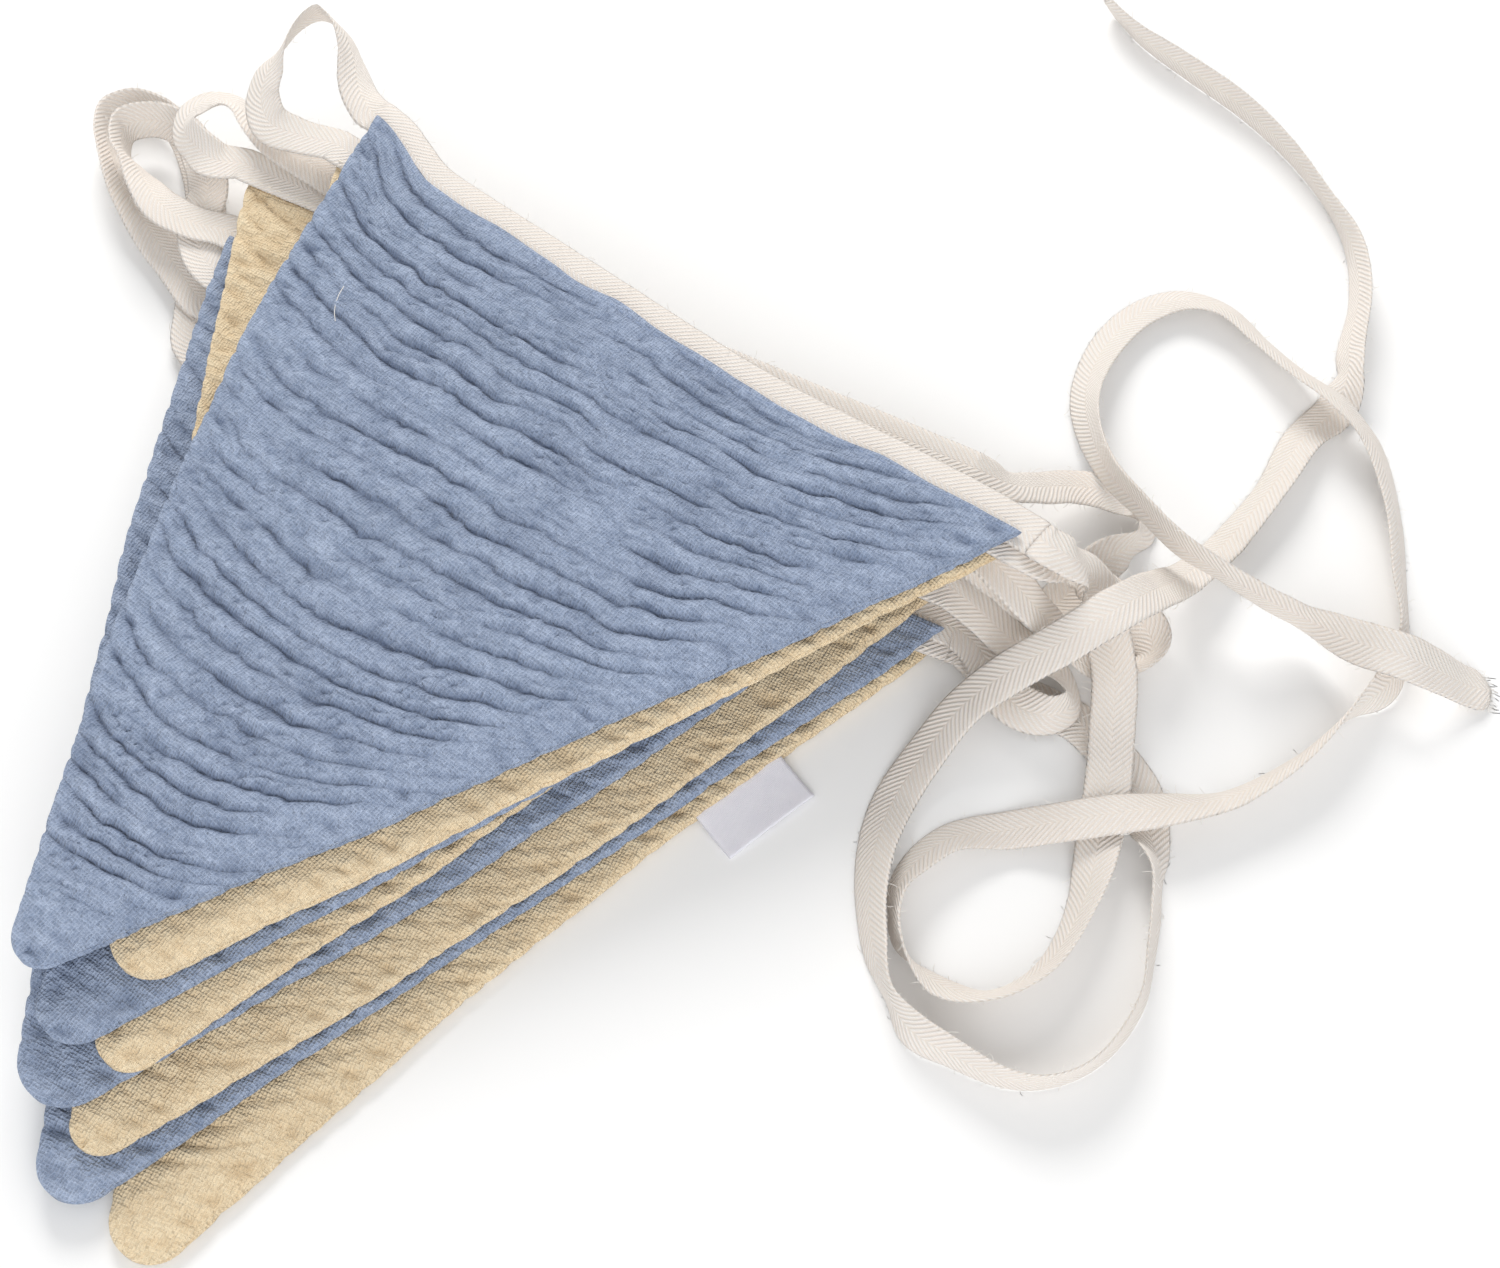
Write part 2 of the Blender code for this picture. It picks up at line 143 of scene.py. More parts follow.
# %% [markdown]
# ## A closed skin through rings of points
#
# Every cloth piece here is a loft: rings of points that all have the same count, one after
# another, joined by four-sided faces and closed at both ends. One helper makes them all.
# It also writes a UV map in metres, so that a weave keeps its real thread size on any
# piece. A piece may carry more values at its points for its finish to read, such as how
# deep in a fold each one lies.
#
# The signed volume of the skin tells which way its faces point: if it comes out negative,
# all faces are turned over. That is quicker and surer than a recalculation afterwards.

# %% Loft helper
def signed_volume(points, quads):
    """Volume inside a skin of quads; negative when its faces point inwards."""
    a, b, c, d = (points[quads[:, k]] for k in range(4))
    return float((np.cross(a, b) * c).sum() + (np.cross(a, c) * d).sum()) / 6


def zipped(first, second, places):
    """Triangles between two chains of a ring's points that run side by side."""
    faces = []
    i = j = 0
    while i < len(first) - 1 or j < len(second) - 1:
        done = i == len(first) - 1
        if not done and (j == len(second) - 1 or places[first[i + 1]] <= places[second[j + 1]]):
            faces.append((first[i], first[i + 1], second[j]))
            i += 1
        else:
            faces.append((first[i], second[j + 1], second[j]))
            j += 1
    return faces


def skin(name, rings, across, along, finish, values=None, first_faces=None):
    """A closed mesh through rings (rows, count, 3) in metres.

    across has one column more than the rings, because the skin meets itself there. The
    first ring is closed by first_faces, in the ring's order, or by one face.
    """
    rows, count = rings.shape[:2]
    points = rings.reshape(-1, 3)
    r, c = np.meshgrid(np.arange(rows - 1), np.arange(count), indexing="ij")
    r, c = r.ravel(), c.ravel()
    after = (c + 1) % count
    quads = np.stack([r * count + c, r * count + after,
                      (r + 1) * count + after, (r + 1) * count + c], axis=1)
    places = np.stack([r * (count + 1) + c, r * (count + 1) + c + 1,
                       (r + 1) * (count + 1) + c + 1, (r + 1) * (count + 1) + c], axis=1)
    caps = [face[::-1] for face in (first_faces or [tuple(range(count))])]
    caps.append(tuple(range((rows - 1) * count, rows * count)))
    if signed_volume(points, quads) < 0:
        quads, places = quads[:, ::-1], places[:, ::-1]
        caps = [face[::-1] for face in caps]

    mesh = bpy.data.meshes.new(name)
    faces = quads.tolist() + caps
    mesh.from_pydata(points.tolist(), [], faces)
    cap_order = np.concatenate([np.array(face) for face in caps])
    order = np.concatenate([places.ravel(), cap_order + (cap_order >= count) * (rows - 1)])
    uv = np.stack([across.ravel()[order], along.ravel()[order]], axis=1)
    mesh.uv_layers.new(name="cloth").data.foreach_set("uv", uv.astype(np.float32).ravel())
    for key, value in (values or {}).items():
        kept = mesh.attributes.new(key, "FLOAT", "POINT")
        kept.data.foreach_set("value", value.astype(np.float32).ravel())
    rounded = np.ones(len(faces), bool)
    rounded[len(quads):] = False
    mesh.polygons.foreach_set("use_smooth", rounded)
    mesh.materials.append(finish)
    mesh.update()
    piece = bpy.data.objects.new(name, mesh)
    bpy.context.scene.collection.objects.link(piece)
    print(name, "has", len(points), "points")
    return piece


def soft_noise(x, y, seed):
    """Smooth values from -1 to 1, with about one hill or dip to each unit square."""
    table = np.random.default_rng(seed).uniform(-1.0, 1.0, (128, 128))
    x, y = np.asarray(x, float) + 40.0, np.asarray(y, float) + 40.0
    column, row = np.floor(x).astype(int), np.floor(y).astype(int)
    s, t = x - column, y - row
    s, t = s * s * (3 - 2 * s), t * t * (3 - 2 * t)

    def at(i, j):
        return table[(column + i) % 128, (row + j) % 128]

    near = at(0, 0) * (1 - s) + at(1, 0) * s
    far = at(0, 1) * (1 - s) + at(1, 1) * s
    return near * (1 - t) + far * t


# %% [markdown]
# ## Wiring a material in a few words
#
# A procedural material is a graph of small sums. Typing every link by hand hides the idea,
# so this helper adds one node and wires its inputs in order: a socket is linked, and a
# plain number is typed in.

# %% Material helpers
class Wiring:
    """Adds nodes to one material and links them."""

    def __init__(self, name):
        self.material = bpy.data.materials.new(name)
        self.material.use_nodes = True
        self.tree = self.material.node_tree
        self.shader = self.tree.nodes["Principled BSDF"]

    def add(self, kind, *inputs, **settings):
        made = self.tree.nodes.new(kind)
        for key, value in settings.items():
            setattr(made, key, value)
        for socket, value in zip(made.inputs, inputs):
            self.set(socket, value)
        return made

    def set(self, socket, value):
        if isinstance(value, bpy.types.NodeSocket):
            self.tree.links.new(value, socket)
        elif value is not None:
            socket.default_value = value

    def sum(self, operation, *inputs, **settings):
        return self.add("ShaderNodeMath", *inputs, operation=operation, **settings).outputs[0]

    def mix(self, share, first, second):
        made = self.tree.nodes.new("ShaderNodeMix")
        made.data_type = "RGBA"
        self.set(made.inputs[0], share)
        self.set(made.inputs[6], first)
        self.set(made.inputs[7], second)
        return made.outputs[2]

    def noise(self, vector, scale, detail=2.0, roughness=0.5):
        made = self.tree.nodes.new("ShaderNodeTexNoise")
        self.set(made.inputs["Vector"], vector)
        made.inputs["Scale"].default_value = scale
        made.inputs["Detail"].default_value = detail
        made.inputs["Roughness"].default_value = roughness
        return made.outputs[0]

    def cloth_place(self):
        """The across and along values of the piece's own UV map, in metres."""
        uv = self.add("ShaderNodeUVMap", uv_map="cloth").outputs[0]
        split = self.add("ShaderNodeSeparateXYZ", uv)
        return uv, split.outputs[0], split.outputs[1]

    def kept(self, key):
        """A value that the mesh keeps at its points."""
        return self.add("ShaderNodeAttribute", attribute_name=key).outputs["Fac"]

    def finish(self, colour, height, depth, **values):
        """Sets the shader: colour, a bump of that depth in metres, and plain values."""
        bump = self.tree.nodes.new("ShaderNodeBump")
        bump.inputs["Strength"].default_value = 1.0
        bump.inputs["Distance"].default_value = depth
        self.set(bump.inputs["Height"], height)
        self.set(self.shader.inputs["Normal"], bump.outputs[0])
        self.set(self.shader.inputs["Base Color"], colour)
        for key, value in values.items():
            self.shader.inputs[key.replace("_", " ")].default_value = value
        return self.material


print("helpers ready")

# %% [markdown]
# ## Herringbone cotton tape: the finish
#
# The tape is a woven twill whose slanting ridges turn back at a line down its middle. The
# pattern needs only two numbers at each place: how far along the tape it is, and how far
# from the middle line. Adding a share of the second to the first makes ridges that slant
# one way on one half and the other way on the other half. A sine of that sum is the ridge.
#
# Each ridge is a row of small thread floats, so a second, finer wave along the thread breaks it up. The
# grooves between the ridges, and the middle line, are coloured a warm beige: painted shade.

# %% Tape finish
TWILL_PITCH = 0.00142
TWILL_SLANT = 1.05
FLOAT_PITCH = 0.00052


def tape_finish():
    w = Wiring("herringbone cotton")
    uv, across, along = w.cloth_place()
    wobble = w.sum("MULTIPLY", w.sum("SUBTRACT", w.noise(uv, 900.0), 0.5), 0.00035)
    from_middle = w.sum("ABSOLUTE", w.sum("SUBTRACT", across, TAPE_WIDTH * MM / 2))
    slanted = w.sum("MULTIPLY_ADD", from_middle, TWILL_SLANT, w.sum("ADD", along, wobble))
    ridge = w.sum("SINE", w.sum("MULTIPLY", slanted, 2 * math.pi / TWILL_PITCH))
    ridge = w.sum("MULTIPLY_ADD", ridge, 0.5, 0.5)
    floats = w.sum("SINE", w.sum("MULTIPLY", w.sum("ADD", across, wobble),
                                 2 * math.pi / FLOAT_PITCH))
    floats = w.sum("MULTIPLY_ADD", floats, 0.5, 0.5)
    thread = w.sum("MULTIPLY", ridge, w.sum("MULTIPLY_ADD", floats, 0.45, 0.55))
    spine = w.sum("SMOOTH_MIN", w.sum("DIVIDE", from_middle, 0.00035), 1.0, 0.3)
    thread = w.sum("MULTIPLY", thread, w.sum("MULTIPLY_ADD", spine, 0.5, 0.5))
    fibre = w.noise(uv, 5200.0, 3.0, 0.7)
    height = w.sum("MULTIPLY_ADD", fibre, 0.22, thread)
    blotch = w.noise(uv, 70.0, 2.0)
    warm = w.mix(w.sum("MULTIPLY", blotch, 0.9), (0.94, 0.92, 0.90, 1), (0.90, 0.85, 0.80, 1))
    # Painted shade: where the thread wave is low, in the grooves and along the middle line, the colour
    # turns warm beige.
    colour = w.mix(w.sum("MULTIPLY", w.sum("SUBTRACT", 1.0, thread), 0.52),
                   warm, (0.70, 0.58, 0.47, 1))
    return w.finish(colour, height, 0.00024, Roughness=0.92, Sheen_Weight=0.20)


cotton_tape = tape_finish()
print("twill ridges every", TWILL_PITCH * 1000, "mm")

# %% [markdown]
# ## Where the tape runs
#
# A tape that lies free is a flat ribbon: it bends easily over its face and twists, but it
# hardly bends in its own plane. So its route needs four numbers at each point: x, y, the
# height of its middle, and its lean, where 0 lies flat and 90 stands on its edge. The
# loops below stand up where they turn tight, because a real tape does too. A lean past 90
# has turned over.

# %% Loops of the heading tape
LOOPS = (
    # left, from flag 1 to flag 2
    ((-105, 4.6, 32, 24), (-113, 10.6, 34, 56), (-119.7, 14, 36.5, 64), (-125.9, 13.6, 38, 66),
     (-127.2, 8.5, 38, 66), (-126.2, 1.2, 36.5, 60), (-124.7, -6, 34, 25),
     (-121.9, -11.7, 31.5, 25), (-115.5, -15.5, 30, 22), (-107, -13.5, 29.5, 5)),
    # right, from flag 2 to flag 3
    ((101, 1, 26, 5), (102, 6, 18, 5), (104, 11, 11.5, 5), (109, 14, 8, 5), (116, 15, 5, 10),
     (123, 14, 4.2, 30), (127, 10, 4.4, 50), (126, 5, 4.2, 45), (121, 1, 3.6, 15),
     (114, -1, 6.8, 10), (108, -3, 12.5, 5), (103, -4, 17, 5), (97, -4, 20.5, 0)),
    # left, from flag 3 to flag 4
    ((-106.1, -15.1, 22.4, 9), (-114.8, -15.9, 21.8, 28), (-123.5, -14.7, 21.4, 45),
     (-131.2, -12.1, 21.2, 48), (-137, -11.7, 21, 30), (-140.9, -14.8, 21, 20),
     (-141.4, -20.1, 21, 23), (-138.7, -25, 20.8, 46), (-132.7, -26.8, 20.6, 44),
     (-125.6, -27.4, 20.6, 14)),
    # right, from flag 4 to flag 5
    ((81, 17.9, 18, -6), (84.8, 24.8, 12.5, -1), (88.4, 32.6, 7.5, -1), (94, 38.1, 4.8, -2),
     (100.8, 39.5, 4.6, -8), (106.8, 37.1, 4.4, -49), (108.2, 31, 5.1, -84),
     (105.6, 24.9, 3.8, -40), (103.6, 16.8, 2, -15), (103, 7.5, 2.6, 0), (100.7, 0.4, 8, 5),
     (94.1, -1, 12.6, 0), (86.9, -1, 13.6, 0)),
    # left, from flag 5 to flag 6
    ((-121, -41, 13.1, 0), (-131, -42, 12.9, 0), (-141, -39, 12, 30), (-149, -36, 11, 60),
     (-156, -34, 10, 70), (-161, -28, 10, 70), (-157, -22, 10, 70), (-149, -20, 10.2, 50),
     (-139, -23, 10.6, 20), (-128, -30, 11, 0), (-121, -40, 11.3, 0), (-113, -46, 11.4, 0)),
    # right, from flag 6 to flag 7
    ((94, -9, 10.4, 0), (102, -9, 7.6, 0), (109, -8, 6, -15), (116, -9, 6.2, -45),
     (121, -13, 6.4, -65), (119, -18, 6.2, -60), (112, -20, 5, -30), (105, -18, 4, -5),
     (98, -14, 4.8, 0)),
    # left, from flag 7 to flag 8
    ((-108, -53, 4.7, 0), (-119, -50, 4.9, 0), (-130, -47, 4.8, 0), (-140, -44, 4.8, 25),
     (-149, -41, 5, 45), (-159, -36, 5.2, 60), (-167, -31, 5.4, 70), (-171, -25, 5.4, 70),
     (-168, -19, 5.4, 70), (-159, -17, 5.2, 60), (-148, -20, 4.6, 40), (-138, -25, 3.8, 15),
     (-128, -33, 3.1, 0), (-117, -45, 3.1, 0), (-108, -56, 3.1, 0), (-101, -63, 3.1, 0)),
)
print("loops:", len(LOOPS))

# %% [markdown]
# ## The two free ties
#
# The tape goes on past the first and the last flag, so that the bunting can be tied up.
# These are the only long free lengths, and they fall in wide easy curves, cross each
# other and pass under and over the bundle of loops. Every crossing is a low hump in the
# upper tie, with the lower tie flat on the table beneath it.

# %% Routes of the ties
TIE_OF_FLAG_1 = (
    (106, 4, 28.5, 8), (109, 7.5, 21.5, 12), (113, 8, 14.5, 15), (118, 4, 10.8, 10),
    (125, -3, 8.4, 5), (131, -12, 5.2, 0), (137, -22, 4, 0), (142, -32, 4.4, 10),
    (149, -49, 4.4, 51), (151, -65, 4.7, 60), (146, -77, 4.7, 60), (136, -82, 4, 45),
    (125, -80, 5.2, 91), (119, -73, 5.1, 107), (117, -65, 4.1, 134), (119, -54, 3.2, 149),
    (126.8, -44.3, 1.7, 168), (135.6, -36.2, 4.8, 172), (143.2, -29.2, 7, 172),
    (151.5, -20.3, 6.4, 157), (160.2, -8.4, 4.1, 134), (166.2, 8, 4.9, 115),
    (168.7, 24.9, 5.1, 90), (171, 36, 4.4, 50), (168, 48, 4.9, 66), (160, 60, 4.7, 58),
    (149, 76, 4.4, 53), (136, 88, 6.2, 42), (124, 91.3, 9.2, 35), (111.1, 95.3, 6, 38),
    (98.3, 99.8, 3.7, 40), (86.5, 102.7, 3.3, 33), (76.7, 99.2, 2.5, 22), (71.3, 89.1, 2.3, 20),
    (70.7, 75.7, 2.8, 26), (74.9, 60.8, 4.5, 46), (83.4, 48.8, 8, 68), (94.9, 38.7, 12.5, 84),
    (106.1, 33.1, 16, 91), (119.2, 28.8, 17.6, 92), (130.6, 29.1, 17, 99), (140, 32, 13, 97),
    (149.4, 35.3, 9.6, 90), (160.2, 35.8, 11, 56), (171.1, 37.5, 13.6, 28),
    (178.7, 42.1, 8.8, 16), (184.9, 46.7, 3.2, 6), (189.4, 50.3, 0.6, 0),
)
TIE_OF_FLAG_8 = (
    (102, -15, 1.6, 0), (109, -15, 0.8, 0), (116, -14, 0.7, 0), (123, -13, 0.7, 0),
    (130, -14, 0.7, 0), (138, -16, 0.6, 0), (145, -20, 0.6, 0), (151, -27, 2.6, -22),
    (157, -34, 4.9, -67), (162, -42, 5, -71), (166, -50, 5.1, -74), (170, -59, 5.2, -79),
    (171, -70, 5.2, -85), (169, -79, 5.2, -92), (164, -86, 5.2, -92), (157, -90, 5.2, -84),
    (147, -92, 5.1, -73), (138, -93, 4.9, -64), (130, -90, 5.1, -87), (122, -84, 4.8, -65),
    (114, -75, 4.3, -51), (108, -65, 3.3, -34), (104, -53, 1.9, -15), (103, -40, 4, -18),
    (104, -29, 9, -13), (108, -19, 14, 3), (114, -9, 20, 8), (119, 2, 24, 10),
    (121.5, 13, 20, 10), (122, 22, 12.5, 5), (123, 31, 7.5, -16), (124, 46, 3, -29),
    (124, 65, 3.6, -38), (122, 82, 2.4, -20), (123.2, 95.5, 1.2, -6), (120.6, 104.5, 4.9, -62),
    (117, 111, 4.7, -59), (110.7, 126, 5, -69), (101.8, 138.2, 5.2, -82), (89.9, 147, 5.1, -102),
    (73, 156, 5.2, -100), (55, 162, 5.2, -95), (34, 165, 5.2, -97), (19, 167, 5.1, -106),
    (5, 172, 4.9, -115),
)
print("points in the ties:", len(TIE_OF_FLAG_1), len(TIE_OF_FLAG_8))

# %% [markdown]
# ## A smooth line through few points
#
# A chord-length Hermite curve goes through every point and doesn't overshoot where the
# points are unevenly spaced, which a plain spline does. It carries all four numbers at
# once, so the lean turns as smoothly as the line bends. Close, even steps are taken
# along it afterwards: a ribbon shades badly where its sections are uneven.

# %% Route helpers
Station = namedtuple("Station", "x y z lean")
TAPE_STRAIGHT = 3.0
TIE_GAP = 0.02
TIE_STRAIGHT = (0.0, 1.2, 2.6)
RUN_PLACES = (0.0, 0.035, 0.07, 0.105, 0.14, 0.26, 0.38, 0.5, 0.59, 0.68, 0.77, 0.86, 0.94, 1.0)
TABLE_CLEAR = 0.05


def heading_run(flag):
    """Stations of the tape along a flag's heading, from left to right."""
    left, right = Vector(flag.left), Vector(flag.right)
    along = (right - left).normalized()
    outward = Vector((-along.y, along.x)) * (TAPE_WIDTH / 2 - TAPE_LAP)
    ahead = along * TAPE_STRAIGHT
    places = [left - ahead]
    for part in RUN_PLACES:
        sag = outward.normalized() * float(heading_sag(flag, part, 0.0))
        places.append(left + (right - left) * part - sag)
    places.append(right + ahead)
    stations = []
    for place in places:
        spot = place + outward
        layer = layer_height(spot.y)
        if flag.tape_over:
            height = (level_of(flag) + 1) * layer - LAYER_GAP - TAPE_THICK / 2
        else:
            height = level_of(flag) * layer + TAPE_THICK / 2
        stations.append(Station(spot.x, spot.y, height, 0.0))
    return stations


def smooth_route(points, step):
    """Rows of x, y, z, lean on a smooth curve through the points, evenly spaced."""
    points = [Vector(point) for point in points]
    legs = [(b.xyz - a.xyz).length for a, b in zip(points, points[1:])]
    slopes = [(points[1] - points[0]) / legs[0]]
    for i in range(1, len(points) - 1):
        slopes.append((points[i + 1] - points[i - 1]) / (legs[i] + legs[i - 1]))
    slopes.append((points[-1] - points[-2]) / legs[-1])
    fine = []
    for i, leg in enumerate(legs):
        steps = max(4, int(leg / 0.3))
        for k in range(steps):
            t = k / steps
            fine.append(points[i] * (2 * t ** 3 - 3 * t ** 2 + 1)
                        + slopes[i] * leg * (t ** 3 - 2 * t ** 2 + t)
                        + points[i + 1] * (3 * t ** 2 - 2 * t ** 3)
                        + slopes[i + 1] * leg * (t ** 3 - t ** 2))
    fine.append(points[-1])
    fine = np.array([tuple(p) for p in fine])
    gone = np.concatenate([[0.0], np.cumsum(np.linalg.norm(np.diff(fine[:, :3], axis=0), axis=1))])
    even = np.linspace(0.0, gone[-1], int(round(gone[-1] / step)) + 1)
    route = np.stack([np.interp(even, gone, fine[:, k]) for k in range(4)], axis=1)
    lean = np.radians(route[:, 3])
    under = (TAPE_WIDTH * np.abs(np.sin(lean)) + TAPE_THICK * np.abs(np.cos(lean))) / 2
    route[:, 2] = np.maximum(route[:, 2], under + TABLE_CLEAR)
    return route, even


def heading_route():
    """The whole heading tape: across flag 1, round a loop, back across flag 2, and on."""
    route = []
    for number, flag in enumerate(FLAGS):
        run = heading_run(flag)
        if number % 2 == 0:
            run.reverse()
        route += run
        if number < len(LOOPS):
            route += LOOPS[number]
    return route


def tie_route(points, flag):
    """A tie's route, from a small gap past the right end of its flag's heading tape."""
    run = heading_run(flag)
    end, before = Vector(run[-1][:3]), Vector(run[-2][:3])
    along = (end - before).normalized()
    start = end + along * TIE_GAP
    straight = [Station(*(start + along * way), 0.0) for way in TIE_STRAIGHT]
    return straight + list(points)


# %% [markdown]
# ## The ribbon's cross-section
#
# A woven tape is thin, a little thicker at its two selvedges, and never quite flat: it
# cups along its length. The section is a closed ring of points, over the top from one
# selvedge to the other and back underneath. Real cotton tape is about 0.6 mm thick.

# %% Ribbon helper
RIBBON_THICK = 0.66
RIBBON_COLUMNS = 11
CUP = 0.35
TAPE_STEP = 0.9


def ribbon(name, points, seed, widths=None, step=TAPE_STEP):
    """A herringbone ribbon along a route. Also gives its middle line in metres."""
    route, gone = smooth_route(points, step)
    places = route[:, :3]
    ahead = np.gradient(places, axis=0)
    ahead /= np.linalg.norm(ahead, axis=1, keepdims=True)
    flat = np.cross([0.0, 0.0, 1.0], ahead)
    flat /= np.linalg.norm(flat, axis=1, keepdims=True)
    up = np.cross(ahead, flat)
    lean = np.radians(route[:, 3:4])
    wide = flat * np.cos(lean) + up * np.sin(lean)
    thick = up * np.cos(lean) - flat * np.sin(lean)

    t = np.cos(np.linspace(0.0, math.pi, RIBBON_COLUMNS)) * 0.5 + np.linspace(0.5, -0.5, RIBBON_COLUMNS)
    swell = np.sqrt(np.clip(1.0 - np.abs(t) ** 10, 0.0, 1.0))
    side = np.concatenate([t, t[::-1][1:-1]])
    high = np.concatenate([swell, -swell[::-1][1:-1]])
    cup = CUP * soft_noise(gone / 26.0, gone * 0.0, seed)[:, None]
    edge = 1.0 + 0.012 * soft_noise(gone / 2.6, gone * 0.0, seed + 1)[:, None]
    half = TAPE_WIDTH / 2 * edge * (1.0 if widths is None else widths(gone)[:, None])
    raised = RIBBON_THICK / 2 * high[None, :] + cup * (side[None, :] ** 2 - 0.4)
    rings = (places[:, None, :] + wide[:, None, :] * (half * side[None, :])[:, :, None]
             + thick[:, None, :] * raised[:, :, None])
    rings[:, :, 2] = np.maximum(rings[:, :, 2], 0.02)
    u = np.concatenate([side, side[:1]]) * TAPE_WIDTH / 2 + TAPE_WIDTH / 2
    across = np.broadcast_to(u * MM, (len(gone), len(u)))
    along = np.broadcast_to(gone[:, None] * MM, across.shape)
    piece = skin(name, metres(rings), across, along, cotton_tape)
    return piece, metres(places), gone[-1] * MM


def tie_end(gone):
    """The cut end spreads a little and is rounded off."""
    left = gone[-1] - gone
    spread = 1.0 + 0.06 * np.exp(-left / 6.0)
    return spread * np.sqrt(np.clip(1.0 - np.clip(1.0 - left / 4.0, 0.0, 1.0) ** 2, 0.02, 1.0))


# %% Ties
ties = []
for name, points, flag, seed in (("tie_upper", TIE_OF_FLAG_1, FLAGS[0], 11),
                                 ("tie_lower", TIE_OF_FLAG_8, FLAGS[-1], 12)):
    tie, middle_line, length = ribbon(name + "_ribbon", tie_route(points, flag), seed, tie_end)
    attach(tie, "root")
    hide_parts(name)
    ties.append(tie)
    print(name, "is", round(length, 3), "m long")

# %% Heading tape
heading_tape, heading_line, heading_length = ribbon("heading_tape_ribbon", heading_route(), 13)
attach(heading_tape, "root")
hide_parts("heading_tape")
print("heading tape is", round(heading_length, 3), "m long")

# %% [markdown]
# ## Crinkled double gauze: the finish
#
# Double gauze is two very open plain weaves, tacked together and shrunk, so it puckers in ribs. Its
# threads are about 0.7 mm apart, thick, soft and uneven, and the gaps between them get painted shade.
# Two sets of waves at right angles draw the threads, and a noise pushes both about, because no gauze
# thread is straight. A stretched noise makes the slubs, the thick places.
#
# A value that the mesh keeps at its points paints shade into the bottom of each crease, a little, and
# into the notches along the seams; the sharp crease lines and the valleys of the small puckers get
# painted shade too. The big shapes stay in the mesh.

# %% Gauze finishes
THREAD_PITCH = 0.00072
PUCKER_HEIGHT = 8.0
LINE_SHARE = 0.062


